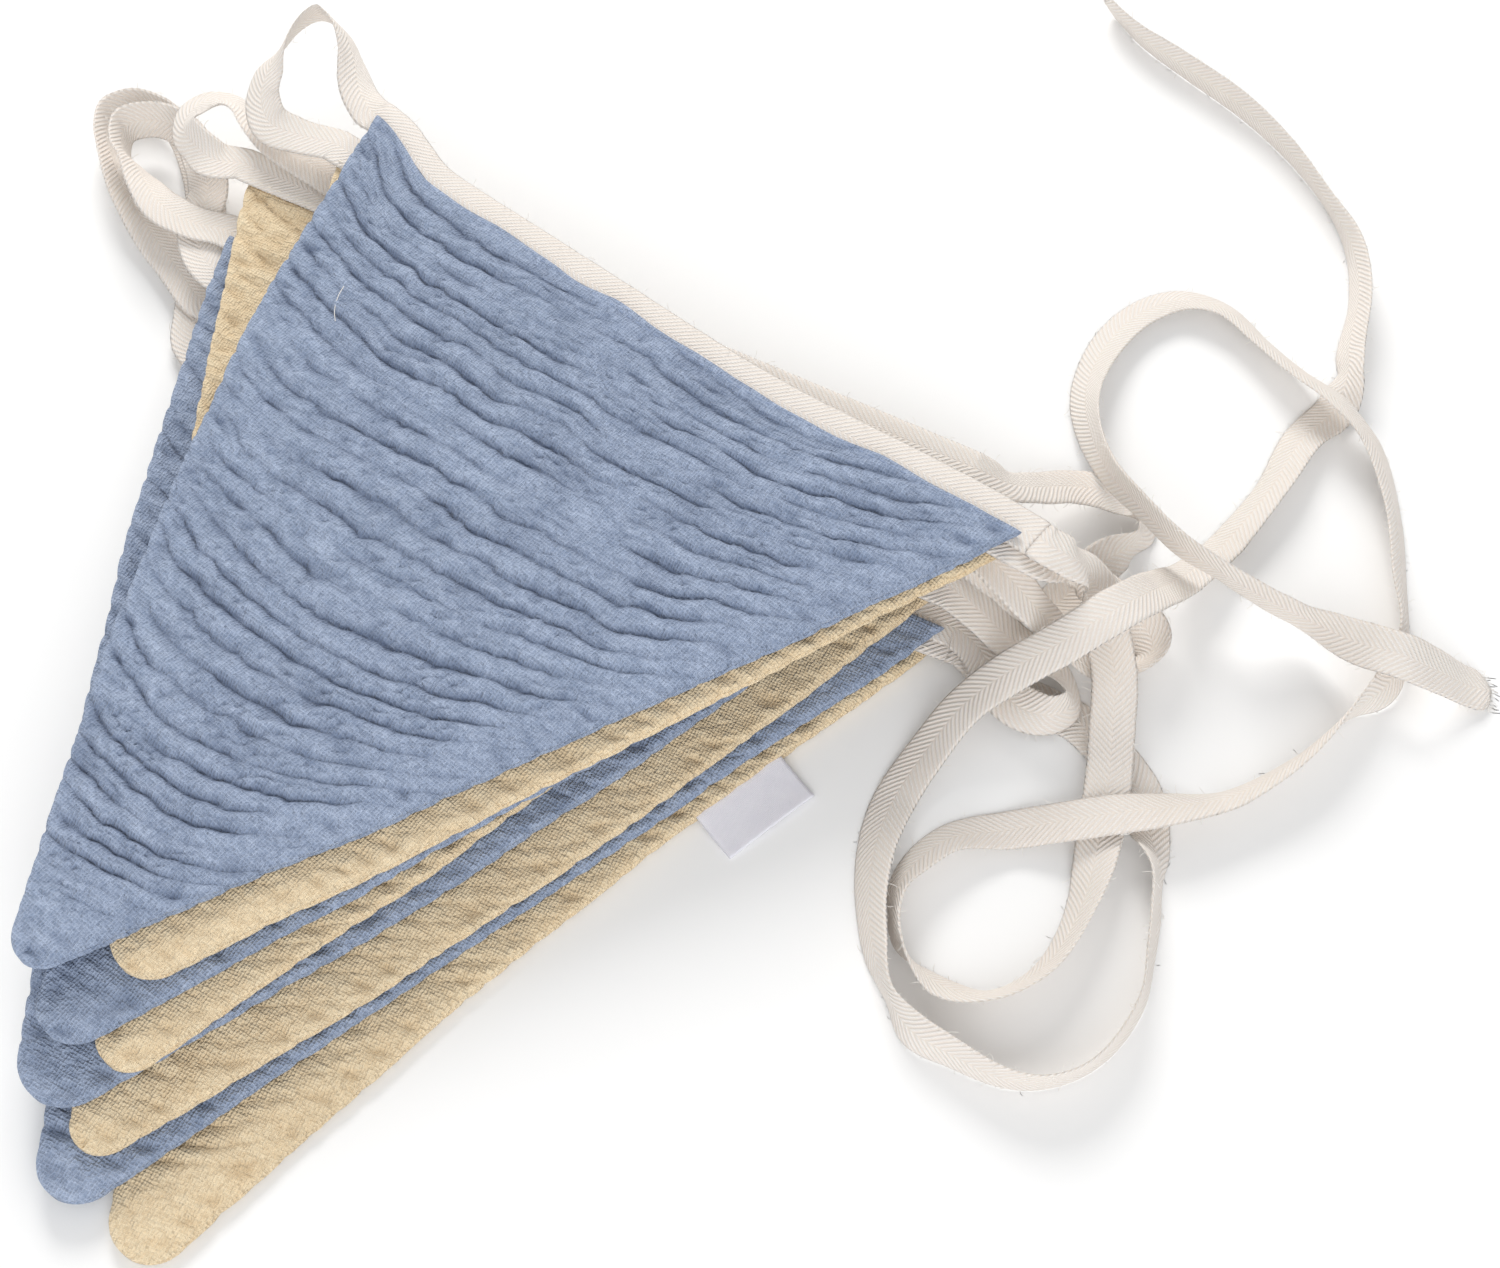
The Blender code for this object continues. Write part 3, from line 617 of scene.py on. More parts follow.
def gauze_finish(name, light, dark, crease_shade_colour):
    w = Wiring(name)
    uv, across, along = w.cloth_place()
    push = w.sum("MULTIPLY", w.sum("SUBTRACT", w.noise(uv, 420.0, 3.0, 0.6), 0.5), 0.0009)
    turn = 2 * math.pi / THREAD_PITCH
    warp = w.sum("SINE", w.sum("MULTIPLY", w.sum("ADD", across, push), turn))
    weft = w.sum("SINE", w.sum("MULTIPLY", w.sum("SUBTRACT", along, push), turn))
    warp = w.sum("MULTIPLY_ADD", warp, 0.5, 0.5)
    weft = w.sum("MULTIPLY_ADD", weft, 0.5, 0.5)
    weave = w.sum("MULTIPLY", w.sum("MAXIMUM", warp, w.sum("MULTIPLY", weft, 0.85)),
                  w.sum("MULTIPLY_ADD", w.sum("ADD", warp, weft), 0.25, 0.5))
    stretched = w.add("ShaderNodeMapping", uv)
    stretched.inputs["Scale"].default_value = (900.0, 480.0, 1.0)
    slub = w.noise(stretched.outputs[0], 1.0, 3.0, 0.65)
    slub = w.sum("MULTIPLY_ADD", w.sum("SUBTRACT", slub, 0.5), 2.2, 0.5, use_clamp=True)
    fibre = w.noise(uv, 3800.0, 4.0, 0.75)
    height = w.sum("MULTIPLY_ADD", fibre, 0.5, w.sum("MULTIPLY_ADD", slub, 0.5, weave))

    # A noise folded at its middle value has sharp valleys: the small puckers of each rib.
    wide_lumps = w.add("ShaderNodeMapping", uv)
    wide_lumps.inputs["Scale"].default_value = (290.0, 380.0, 1.0)
    pucker = w.sum("ABSOLUTE", w.sum("SUBTRACT", w.noise(wide_lumps.outputs[0], 1.0, 2.5), 0.5))
    height = w.sum("MULTIPLY_ADD", pucker, PUCKER_HEIGHT, height)
    pucker_valley_shade = w.sum("SUBTRACT", 1.0, w.sum("MULTIPLY", pucker, 16.0), use_clamp=True)

    grain = w.sum("MULTIPLY_ADD", w.noise(uv, 950.0, 2.0, 0.7), 2.4, -0.7, use_clamp=True)
    tone = w.sum("MULTIPLY_ADD", grain, 0.36, w.sum("MULTIPLY", slub, 0.34))
    # Painted shade: the weave's share of the tone darkens the gaps between the threads.
    tone = w.sum("MULTIPLY_ADD", weave, 0.45, tone)
    # Painted light and shade: random patches about the size of a rib's pillows make the colour lighter
    # or darker, for lit crests and shaded hollows.
    pillow_light_mapping = w.add("ShaderNodeMapping", uv)
    pillow_light_mapping.inputs["Scale"].default_value = (120.0, 260.0, 1.0)
    pillow_painted_light = w.sum("SUBTRACT", w.noise(pillow_light_mapping.outputs[0], 1.0, 3.0, 0.6), 0.5)
    tone = w.sum("MULTIPLY_ADD", pillow_painted_light, 1.1, tone, use_clamp=True)
    colour = w.mix(tone, dark, light)
    blotch = w.sum("MULTIPLY", w.noise(uv, 45.0, 3.0), 0.25)
    colour = w.mix(blotch, colour, dark)
    # Painted shade in the valleys of the small puckers.
    colour = w.mix(w.sum("MULTIPLY", pucker_valley_shade, 0.20), colour, crease_shade_colour)
    # Painted shade, deep in the mesh's folds and at the notches along the seams.
    colour = w.mix(w.sum("MULTIPLY", w.kept("painted_fold_shade"), 0.90), colour, crease_shade_colour)

    # The crease itself, sharper than the mesh can draw it, where the phase is whole: a groove in the
    # bump, and painted shade in the colour.
    jag = w.sum("MULTIPLY", w.sum("SUBTRACT", w.noise(uv, 620.0, 3.0, 0.6), 0.5), 0.22)
    phase = w.sum("ADD", w.sum("ADD", w.kept("phase"), jag), 0.5)
    off = w.sum("ABSOLUTE", w.sum("SUBTRACT", w.sum("FRACT", phase), 0.5))
    line = w.sum("SUBTRACT", 1.0, w.sum("DIVIDE", off, LINE_SHARE), use_clamp=True)
    broken = w.sum("MULTIPLY_ADD", w.noise(uv, 300.0, 2.0), 3.2, -1.0, use_clamp=True)
    line = w.sum("MULTIPLY", w.sum("MULTIPLY", line, broken), w.kept("strong"))
    height = w.sum("MULTIPLY_ADD", line, -1.8, height)
    colour = w.mix(w.sum("MULTIPLY", line, 0.42), colour, crease_shade_colour)
    return w.finish(colour, height, 0.00030, Roughness=0.95, Sheen_Weight=0.10)


# Each gauze has a light and a dark tone, mixed by the cloth's own grain, slubs and blotches and by
# painted light and shade, and a last colour that is painted shade for creases, pucker valleys and
# notches.
gauze = {
    "blue": gauze_finish("blue double gauze", (0.53, 0.62, 0.80, 1), (0.21, 0.275, 0.41, 1),
                         (0.070, 0.10, 0.18, 1)),
    "cream": gauze_finish("cream double gauze", (0.98, 0.84, 0.60, 1), (0.90, 0.69, 0.43, 1),
                          (0.55, 0.37, 0.19, 1)),
}
print("gauze threads are", THREAD_PITCH * 1000, "mm apart")

# %% [markdown]
# ## The shape of the crinkle
#
# Each rib is a soft strip between two sharp creases, 6 to 7 mm apart. A crease wanders,
# jogs sideways by a thread or two, fades out and starts again, and near the side seams
# all creases swing up towards the heading, because the seam holds the cloth shorter.
#
# The height of the cloth is worked out at each point from a phase: the place along the
# flag divided by the rib's pitch, with noise added. A whole number is a crease. Its
# distance from there gives a narrow groove and a broad hollow, and every crease has its
# own depth that comes and goes. Small cross kinks break each rib into pillows.

# %% Crinkle
RIB_PITCH = 6.4
RIB_DEPTH = 1.8
GROOVE = 0.060
SWING_RIGHT, SWING_RIGHT_FADE = 26.0, 28.0
SWING_LEFT, SWING_LEFT_FADE = 9.0, 16.0


def crinkle(a, b, to_left, to_right, seed):
    """Depth below the ribs' tops in millimetres, the share of a fold, the phase and how
    strong its crease is, at places a across and b down a flag, that far from its seams."""
    swing = SWING_RIGHT * np.exp(-to_right / SWING_RIGHT_FADE)
    swing = swing + SWING_LEFT * np.exp(-to_left / SWING_LEFT_FADE)
    phase = (b + swing) / RIB_PITCH
    phase = phase + 0.60 * soft_noise(a / 48.0, b / 38.0, seed)
    phase = phase + 0.20 * soft_noise(a / 15.0, b / 12.0, seed + 1)
    phase = phase + 0.11 * soft_noise(a / 5.0, b / 6.4, seed + 2)
    phase = phase + 0.07 * soft_noise(a / 2.1, b / 4.4, seed + 11)
    crease = np.round(phase)
    off = phase - crease
    strong = 0.72 + 0.60 * soft_noise(a / 24.0, crease * 3.7, seed + 3)
    strong = np.clip(strong + 0.35 * soft_noise(a / 6.0, crease * 5.3, seed + 4), 0.10, 1.0)
    groove = np.exp(-np.abs(off) / np.where(off > 0, GROOVE * 1.5, GROOVE * 0.8))
    hollow = np.exp(-(off / 0.20) ** 2)
    depth = strong * (0.42 * groove + 0.46 * hollow)

    # A rib is broken into pillows by short kinks across it, and here and there halved by
    # a faint crease along its top.
    rib = np.floor(phase)
    beside = phase - rib - 0.5 + 0.14 * soft_noise(a / 9.0, b / 5.0, seed + 5)
    faint = np.clip(1.2 * soft_noise(a / 14.0, rib * 4.1, seed + 6) - 0.10, 0.0, 0.75)
    halving = faint * np.exp(-np.abs(beside) / 0.08)
    beat = a / 9.0 + 2.0 * soft_noise(a / 26.0, rib * 2.3, seed + 7) + 0.5 * off
    kink = np.exp(-np.abs(beat - np.round(beat)) / 0.12) * (1.0 - hollow)
    kink = kink * np.clip(1.3 * soft_noise(a / 6.0, b / 6.0, seed + 8) + 0.45, 0.0, 1.0)
    depth = depth + 0.34 * halving + 0.40 * kink
    depth = depth + 0.18 * soft_noise(a / 2.7, b / 2.1, seed + 9)
    lumps = soft_noise(a / 6.0, b / 3.0, seed + 10)
    depth = depth + 0.34 * lumps
    # How far a place lies in a crease, a kink or a dip. It draws the seams in, and the finish darkens
    # the colour by it as painted shade.
    share = strong * (0.28 * groove + 0.46 * hollow) + 0.50 * halving + 0.40 * kink
    share = share + 0.16 * np.maximum(lumps, 0.0)
    return depth * RIB_DEPTH, np.clip(share, 0.0, 1.0), phase, strong


print("ribs are", RIB_PITCH, "mm apart and", RIB_DEPTH, "mm deep at most")

# %% [markdown]
# ## A flag: two panels, sewn and turned
#
# A flag is sewn right sides together round its two long sides and turned through, so its
# seam lies in a groove between two puffed lips. Its section, cut across, is a closed ring:
# over the top panel, round a lip into the seam, out round the other lip and back along
# the lower panel. The columns crowd towards the sides, since only the sides of the lower
# flags ever show. At the heading the flag is pressed thin, where the tape holds it.
#
# Cloth simulation would also pucker it, but couldn't place single creases, and the
# creases are what one sees first on this cloth. So the shape is worked out directly.

# %% Flag outline
def side_seam(flag, share):
    """Left and right edge of a flag in the plan, at a share of the way to its tip."""
    left, right, tip = Vector(flag.left), Vector(flag.right), Vector(flag.tip)
    middle = (left + right) / 2
    across = (right - left).normalized()
    length = (tip - middle).length
    half_top = (right - left).length / 2
    apex = math.atan2(half_top, length)
    to_tip = length * (1 - share)
    radius = flag.tip_radius
    tangent = radius * (1 - math.sin(apex))
    if to_tip < tangent:
        half = math.sqrt(max(radius ** 2 - (radius - to_tip) ** 2, 0.0))
    else:
        tangent_half = radius * math.cos(apex)
        grow = (to_tip - tangent) / (length - tangent)
        half = tangent_half + (half_top - tangent_half) * grow
    centre = middle + (tip - middle) * share
    belly = math.sin(math.pi * share)
    return (centre - across * (half + flag.bow_left * belly),
            centre + across * (half + flag.bow_right * belly))


def flag_rows(length, radius, step):
    """Distances from the heading of a flag's rows: close at the heading and the tip."""
    heading = [0.0, 0.15, 0.4, 0.8, 1.3, 1.9]
    body = np.arange(2.5, length - radius, step).tolist()
    turn = np.radians(np.linspace(2.0, 86.0, 14))
    tip = (length - radius * (1.0 - np.sin(turn))).tolist()
    return np.array(heading + body + [place for place in tip if place > body[-1] + step / 3])


# %% [markdown]
# The lip's profile is two bows: a quarter of an ellipse from the panel's crown out to the
# edge, and another from the edge back into the seam. Each row of the table is one point:
# how far in from the edge, as shares of the lip's and of the groove's depth, and how high
# above the seam, as a share of the flag's thickness.

# %% Lip profile
LIP = 1.9
LIP_SPREAD = 0.27
SEAM_DEPTH = 1.1
CROWN_ANGLES = (72.0, 54.0, 36.0, 18.0, 0.0)
GROOVE_ANGLES = (30.0, 60.0, 90.0)


def lip_profile():
    """Shares of the lip, shares of the groove and heights, from the crown to the seam."""
    crown, inner = np.radians(CROWN_ANGLES), np.radians(GROOVE_ANGLES)
    of_lip = np.concatenate([1 - np.cos(crown), np.zeros(len(inner))])
    of_groove = np.concatenate([np.zeros(len(crown)), 1 - np.cos(inner)])
    high = np.concatenate([LIP_SPREAD + (0.5 - LIP_SPREAD) * np.sin(crown),
                           LIP_SPREAD * (1 - np.sin(inner))])
    return of_lip, of_groove, high


def spread(columns, crowd):
    """Shares from 0 to 1, closer together towards both ends as crowd nears 1."""
    even = np.linspace(0.0, 1.0, columns)
    return even - crowd * np.sin(2 * math.pi * even) / (2 * math.pi)


def flag_section_plan(wide, top_columns, low_columns, crowd):
    """Insets from the left edge (rows, count) and heights from -0.5 to 0.5 (count)."""
    of_lip, of_groove, lip_high = lip_profile()
    lip = np.minimum(LIP, wide * 0.28)[:, None]
    groove = np.minimum(SEAM_DEPTH, wide * 0.18)[:, None]
    lip_in = lip * of_lip + groove * of_groove
    between = wide[:, None] - 2 * lip
    top_in = lip + between * spread(top_columns, crowd)
    low_in = lip + between * spread(low_columns, crowd)
    far_in = wide[:, None] - lip_in
    inset = np.concatenate([lip_in[:, ::-1], top_in, far_in, far_in[:, -2::-1],
                            low_in[:, ::-1], lip_in[:, :-1]], axis=1)
    high = np.concatenate([lip_high[::-1], np.full(top_columns, 0.5), lip_high,
                           -lip_high[-2::-1], np.full(low_columns, -0.5), -lip_high[:-1]])
    return inset, high


# %% [markdown]
# The stack's layers share their faces, so no flag cuts into the next one. Each face is a
# gently uneven sheet, and a flag fills the room between two of them. Only the lowest
# face is flat, because it is the table.

# %% Flag mesh
SEWN_THICK = 2.3
PUFF_FROM_HEAD = 13.0
HEAD_ROUND = 1.1
HEAD_WAVE = 1.0
NOTCH = 1.0
FACE_WOBBLE = 0.45
FACE_SUNK = 0.45


def stack_face(x, y, level):
    """Height of the face on top of that many layers."""
    uneven = FACE_WOBBLE * soft_noise(x / 31.0, y / 27.0, 60 + level)
    uneven = uneven + 0.4 * FACE_WOBBLE * soft_noise(x / 9.0, y / 8.0, 80 + level)
    return level * layer_height(y) + (uneven if level else 0.0)


def flag_mesh(flag, seed, row_step, top_columns, low_columns, crowd, edge_calm, calm_reach):
    """One flag's closed skin, with its crinkle."""
    left_corner, right_corner = np.array(flag.left), np.array(flag.right)
    middle = (left_corner + right_corner) / 2
    length = np.linalg.norm(np.array(flag.tip) - middle)
    rows = flag_rows(length, flag.tip_radius, row_step)
    edges = [side_seam(flag, place / length) for place in rows]
    left = np.array([tuple(pair[0]) for pair in edges])
    right = np.array([tuple(pair[1]) for pair in edges])
    across_way = (right_corner - left_corner) / np.linalg.norm(right_corner - left_corner)
    wide = np.linalg.norm(right - left, axis=1)
    start = ((left - middle) @ across_way)[:, None]
    inset, high = flag_section_plan(wide, top_columns, low_columns, crowd)
    wide, b = wide[:, None], rows[:, None]

    # Short notches stand along each seam, where its thread gathers the cloth.
    from_edge = np.minimum(inset, wide - inset)
    place_b = np.broadcast_to(b, inset.shape)
    on_edge = np.clip(1.0 - from_edge / 4.0, 0.0, 1.0)
    drop, crease, phase, strong = crinkle(start + inset, place_b, inset, wide - inset, seed)
    beat = place_b / 6.8 + 1.3 * soft_noise(place_b / 21.0, (inset > wide / 2) * 7.0, seed + 22)
    notch = np.exp(-((beat - np.round(beat)) / 0.17) ** 2)
    notch = notch * np.clip(0.6 + soft_noise(np.round(beat) * 1.7, inset * 0.0, seed + 23), 0.0, 1.0)
    notch = notch * np.exp(-((from_edge - 3.6) / 2.4) ** 2)

    # Each crease that runs into a seam draws the edge in a little.
    wave = 0.45 * soft_noise(place_b / 17.0, (inset > wide / 2) * 9.0, seed + 20)
    drawn = (0.7 * crease - wave) * on_edge * np.clip((length - b) / 12.0, 0.0, 1.0)
    inset = np.where(inset < wide / 2, inset + drawn, inset - drawn)
    inset = np.where(wide > 8.0, inset, np.clip(inset, 0.0, wide))
    towards_tip = np.array([across_way[1], -across_way[0]])
    sag = heading_sag(flag, inset / wide, b)
    if flag is FLAGS[0]:
        sag = sag + HEAD_WAVE * soft_noise(inset / 12.0, b * 0.0, seed + 21) * smooth(1 - b / 9)
    plan = left[:, None, :] + inset[:, :, None] * across_way + sag[:, :, None] * towards_tip
    x, y = plan[:, :, 0], plan[:, :, 1]

    level = level_of(flag)
    low = stack_face(x, y, level) + (0.08 if level else 0.0)
    top = stack_face(x, y, level + 1) - 0.08
    if flag.tape_over:
        sewn_top = (level + 1) * layer_height(y) - LAYER_GAP - TAPE_THICK + 0.12
        sewn_low = sewn_top - SEWN_THICK
    else:
        sewn_low = level * layer_height(y) + TAPE_THICK - 0.12
        sewn_top = sewn_low + SEWN_THICK
    puff = smooth(b / PUFF_FROM_HEAD)
    low = sewn_low + (low - sewn_low) * puff
    top = sewn_top + (top - sewn_top) * puff
    rounding = np.clip(1.0 - b / HEAD_ROUND, 0.0, 1.0)
    thick = (top - low) * np.maximum(np.sqrt(1.0 - rounding ** 2), 0.15)
    centre = (top + low) / 2

    calm_left = 0.5 + 0.5 * smooth((inset - 1.0) / 5.0)
    calm_right = edge_calm + (1.0 - edge_calm) * smooth((wide - inset - 3.0) / calm_reach)
    calm = calm_left * calm_right * np.clip(b / 5.0, 0.25, 1.0)
    calm = calm * np.clip((length - b) / 24.0 + 0.12, 0.0, 1.0)
    upper = np.clip(high * 2, 0.0, 1.0)
    lower = np.clip(-high * 2, 0.0, 1.0)
    drop = drop * calm + NOTCH * notch
    # The panels' creases reach neither each other nor the next flag. Only the top flag's
    # upper face has free room above it.
    on_top = flag is FLAGS[0]
    sunk = drop + (0.0 if on_top else FACE_SUNK) * calm
    top_drop = np.clip(sunk, -1.0 if on_top else 0.0, np.maximum(0.62 * thick - 0.25, 0.0))
    low_drop = np.clip(0.6 * sunk, 0.0, np.maximum(0.38 * thick - 0.25, 0.0))
    z = centre + high * thick - top_drop * upper + low_drop * lower
    rings = np.stack([x, y, np.maximum(z, 0.03)], axis=2)

    flat_ring = np.stack([inset, np.broadcast_to(high, inset.shape) * 4.0], axis=2)
    around = np.concatenate([flat_ring, flat_ring[:, :1]], axis=1)
    gone = np.linalg.norm(np.diff(around, axis=1), axis=2)
    gone = np.concatenate([np.zeros((len(rows), 1)), np.cumsum(gone, axis=1)], axis=1)
    crown = len(CROWN_ANGLES) + len(GROOVE_ANGLES)
    across = gone - gone[:, crown:crown + 1] + start + inset[:, crown:crown + 1]
    along = np.broadcast_to(b, across.shape)
    # The heading's end is closed straight across, from the upper chain to the lower one.
    count = inset.shape[1]
    turn = 2 * len(CROWN_ANGLES) + 2 * len(GROOVE_ANGLES) + top_columns - 1
    upper_chain = list(range(turn + 1))
    lower_chain = [0] + list(range(count - 1, turn - 1, -1))
    lips = len(CROWN_ANGLES) + len(GROOVE_ANGLES)
    closing = [(upper_chain[k], upper_chain[k + 1], lower_chain[k + 1], lower_chain[k])
               for k in range(1, lips)]
    closing += [(upper_chain[-k - 1], upper_chain[-k], lower_chain[-k], lower_chain[-k - 1])
                for k in range(2, lips + 1)]
    closing += [(0, 1, count - 1), (turn - 1, turn, turn + 1)]
    closing += zipped(upper_chain[lips:-lips], lower_chain[lips:-lips], inset[0])

    # Painted shade: the finish darkens the cloth by how far each place lies in a fold, and at the
    # notches along the seams.
    on_face = calm * np.maximum(upper, lower)
    notch = 0.36 * notch * np.maximum(upper, lower)
    return skin(flag.name + "_gauze", metres(rings), across * MM, along * MM,
                gauze[flag.colour], {"painted_fold_shade": crease * on_face + notch, "phase": phase,
                                     "strong": strong * on_face}, closing)


# %% Flags
# row step, columns of the two panels, how far they crowd to the sides, how much of the
# crinkle is left at the right edge, and over how many millimetres it comes back
TOP_FLAG = (0.42, 150, 26, 0.0, 0.34, 14.0)
OTHER_FLAGS = (0.8, 34, 24, 0.85, 0.25, 22.0)
flags = []
for number, flag in enumerate(FLAGS):
    made = flag_mesh(flag, 100 + 30 * number, *(OTHER_FLAGS if number else TOP_FLAG))
    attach(made, "root")
    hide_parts(flag.name)
    flags.append(made)

# %% [markdown]
# ## Sewing thread and loose fibres
#
# Things that repeat along a line are work for Geometry Nodes. Two small trees are built
# here. The first lays a stitch, a tiny stretched ball, at every pitch of a line and turns it
# along that line. The second sets a short bent hair at every pitch, each turned and sized at
# random from a fixed seed: fuzz on the tape's edges, and frayed threads at its cut ends.
#
# Both end with Realize Instances and Set Material. Each modifier's result is then taken as
# a plain mesh, so nothing has to be worked out again later.

# %% Thread trees
def new_tree(name, sizes):
    """A node tree with a geometry socket and the named sizes as inputs."""
    tree = bpy.data.node_groups.new(name, "GeometryNodeTree")
    tree.interface.new_socket("Geometry", in_out="INPUT", socket_type="NodeSocketGeometry")
    for label, kind in sizes:
        tree.interface.new_socket(label, in_out="INPUT", socket_type="NodeSocket" + kind)
    tree.interface.new_socket("Geometry", in_out="OUTPUT", socket_type="NodeSocketGeometry")
    source = tree.nodes.new("NodeGroupInput")

    def node(kind, links, **settings):
        made = tree.nodes.new(kind)
        for key, value in settings.items():
            setattr(made, key, value)
        for key, value in links.items():
            socket = made.inputs[key]
            if isinstance(value, bpy.types.NodeSocket):
                tree.links.new(value, socket)
            else:
                socket.default_value = value
        return made

    return tree, source.outputs, node


def end_tree(tree, node, instances, finish):
    """Realize, set the material and join the output."""
    real = node("GeometryNodeRealizeInstances", {"Geometry": instances})
    dressed = node("GeometryNodeSetMaterial", {"Geometry": real.outputs[0], "Material": finish})
    node("NodeGroupOutput", {"Geometry": dressed.outputs[0]})
    return tree


def stitch_tree(finish):
    tree, size, node = new_tree("stitch row", (("Pitch", "Float"), ("Long", "Float"),
                                               ("Thick", "Float")))
    line = node("GeometryNodeMeshToCurve", {"Mesh": size["Geometry"]})
    points = node("GeometryNodeCurveToPoints", {"Curve": line.outputs[0],
                                                "Length": size["Pitch"]}, mode="LENGTH")
    turn = node("FunctionNodeAlignRotationToVector", {"Vector": points.outputs["Tangent"]},
                axis="X")
    ball = node("GeometryNodeMeshUVSphere", {"Segments": 6, "Rings": 4, "Radius": 0.5})
    scale = node("ShaderNodeCombineXYZ", {"X": size["Long"], "Y": size["Thick"],
                                          "Z": size["Thick"]})
    laid = node("GeometryNodeInstanceOnPoints", {
        "Points": points.outputs["Points"], "Instance": ball.outputs["Mesh"],
        "Rotation": turn.outputs[0], "Scale": scale.outputs[0]})
    return end_tree(tree, node, laid.outputs[0], finish)


def hair_tree(finish):
    tree, size, node = new_tree("loose threads", (
        ("Pitch", "Float"), ("Long", "Float"), ("Thick", "Float"), ("Turn", "Vector"),
        ("Scatter", "Vector"), ("Seed", "Int")))
    line = node("GeometryNodeMeshToCurve", {"Mesh": size["Geometry"]})
    points = node("GeometryNodeCurveToPoints", {"Curve": line.outputs[0],
                                                "Length": size["Pitch"]}, mode="LENGTH")
    bend = node("GeometryNodeCurveQuadraticBezier", {
        "Resolution": 4, "Start": (0, 0, 0), "Middle": (0.5, 0.22, 0.0), "End": (1, 0, 0.1)})
    slim = node("ShaderNodeMath", {0: size["Thick"], 1: size["Long"]}, operation="DIVIDE")
    ring = node("GeometryNodeCurvePrimitiveCircle", {"Resolution": 3, "Radius": slim.outputs[0]})
    hair = node("GeometryNodeCurveToMesh", {"Curve": bend.outputs[0],
                                            "Profile Curve": ring.outputs[0],
                                            "Fill Caps": True})
    low = node("ShaderNodeVectorMath", {0: size["Turn"], 1: size["Scatter"]},
               operation="SUBTRACT")
    high = node("ShaderNodeVectorMath", {0: size["Turn"], 1: size["Scatter"]}, operation="ADD")
    turn = node("FunctionNodeRandomValue", {"Min": low.outputs[0], "Max": high.outputs[0],
                                            "Seed": size["Seed"]}, data_type="FLOAT_VECTOR")
    share = node("FunctionNodeRandomValue", {2: 0.45, 3: 1.4, "Seed": size["Seed"]})
    scale = node("ShaderNodeMath", {0: size["Long"], 1: share.outputs[1]}, operation="MULTIPLY")
    laid = node("GeometryNodeInstanceOnPoints", {
        "Points": points.outputs["Points"], "Instance": hair.outputs[0],
        "Rotation": turn.outputs[0], "Scale": scale.outputs[0]})
    return end_tree(tree, node, laid.outputs[0], finish)


def along_lines(name, lines, tree, **sizes):
    """A plain mesh of what a tree lays along some lines, each a list of points in metres."""
    guide = bpy.data.meshes.new(name + "_line")
    points = [tuple(point) for line in lines for point in line]
    edges = []
    first = 0
    for line in lines:
        edges += [(first + k, first + k + 1) for k in range(len(line) - 1)]
        first += len(line)
    guide.from_pydata(points, edges, [])
    maker = bpy.data.objects.new(name + "_line", guide)
    bpy.context.scene.collection.objects.link(maker)
    modifier = maker.modifiers.new("threads", "NODES")
    modifier.node_group = tree
    for item in tree.interface.items_tree:
        if item.in_out == "INPUT" and item.name in sizes:
            modifier[item.identifier] = sizes[item.name]
    evaluated = maker.evaluated_get(bpy.context.evaluated_depsgraph_get())
    mesh = bpy.data.meshes.new_from_object(evaluated)
    maker.modifiers.remove(modifier)
    bpy.data.objects.remove(maker)
    mesh.name = name

    # What would reach into the table lies on it.
    places = np.empty(len(mesh.vertices) * 3, np.float32)
    mesh.vertices.foreach_get("co", places)
    places[2::3] = np.maximum(places[2::3], 0.00003)
    mesh.vertices.foreach_set("co", places)
    mesh.update()
    piece = bpy.data.objects.new(name, mesh)
    bpy.context.scene.collection.objects.link(piece)
    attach(piece, "root")
    print(name, "has", len(mesh.polygons), "faces")
    return piece


# %% [markdown]
# The headings are sewn on with matching thread. Where the tape lies under a flag, the
# stitches sit on the gauze, and where it lies over, they sit on the tape. The row follows the
# cloth's own top surface, 1.7 mm in from the edge, and sinks into it a little.

# %% Stitches
STITCH_PITCH = 2.6
STITCH_LONG = 1.75
STITCH_THICK = 0.34
STITCH_IN = 1.7


def plain_finish(name, colour):
    w = Wiring(name)
    place = w.add("ShaderNodeTexCoord").outputs["Object"]
    return w.finish(colour, w.noise(place, 4000.0), 0.00004, Roughness=0.85)


thread_tree = {
    "blue": stitch_tree(plain_finish("blue sewing thread", (0.30, 0.37, 0.52, 1))),
    "cream": stitch_tree(plain_finish("cream sewing thread", (0.90, 0.84, 0.74, 1))),
}


def top_of_flag(flag, made, share, inward):
    """The place on a finished flag's upper side, that far in from its heading."""
    start, end = Vector((*flag.left, 0.0)), Vector((*flag.right, 0.0))
    towards_tip = (end - start).cross(Vector((0, 0, 1))).normalized()
    sag = float(heading_sag(flag, share, 0.0))
    spot = start + (end - start) * share + towards_tip * (sag + inward)
    above = Vector(metres((spot.x, spot.y, 80.0)))
    return made.ray_cast(above, Vector((0, 0, -1)))[1]


for number, (flag, made) in enumerate(zip(FLAGS, flags)):
    raised = Vector((0, 0, TAPE_THICK * MM if flag.tape_over else 0.0))
    row = [top_of_flag(flag, made, share, STITCH_IN) + raised
           for share in np.linspace(0.012, 0.988, 150)]
    along_lines("stitches_" + str(number + 1), [row], thread_tree[flag.colour],
                Pitch=STITCH_PITCH * MM, Long=STITCH_LONG * MM, Thick=STITCH_THICK * MM)

# %% [markdown]
# Cotton tape is fuzzy at its selvedges, and the two cut ends fray. The lines for the fuzz
# are the ribbon's own edges, taken from its rings of points.

# %% Fuzz
FUZZ_PITCH = 1.7
FUZZ_LONG = 1.6
FUZZ_THICK = 0.05
cotton_hair = hair_tree(plain_finish("loose cotton", (0.93, 0.90, 0.86, 1)))
RING_POINTS = 2 * RIBBON_COLUMNS - 2


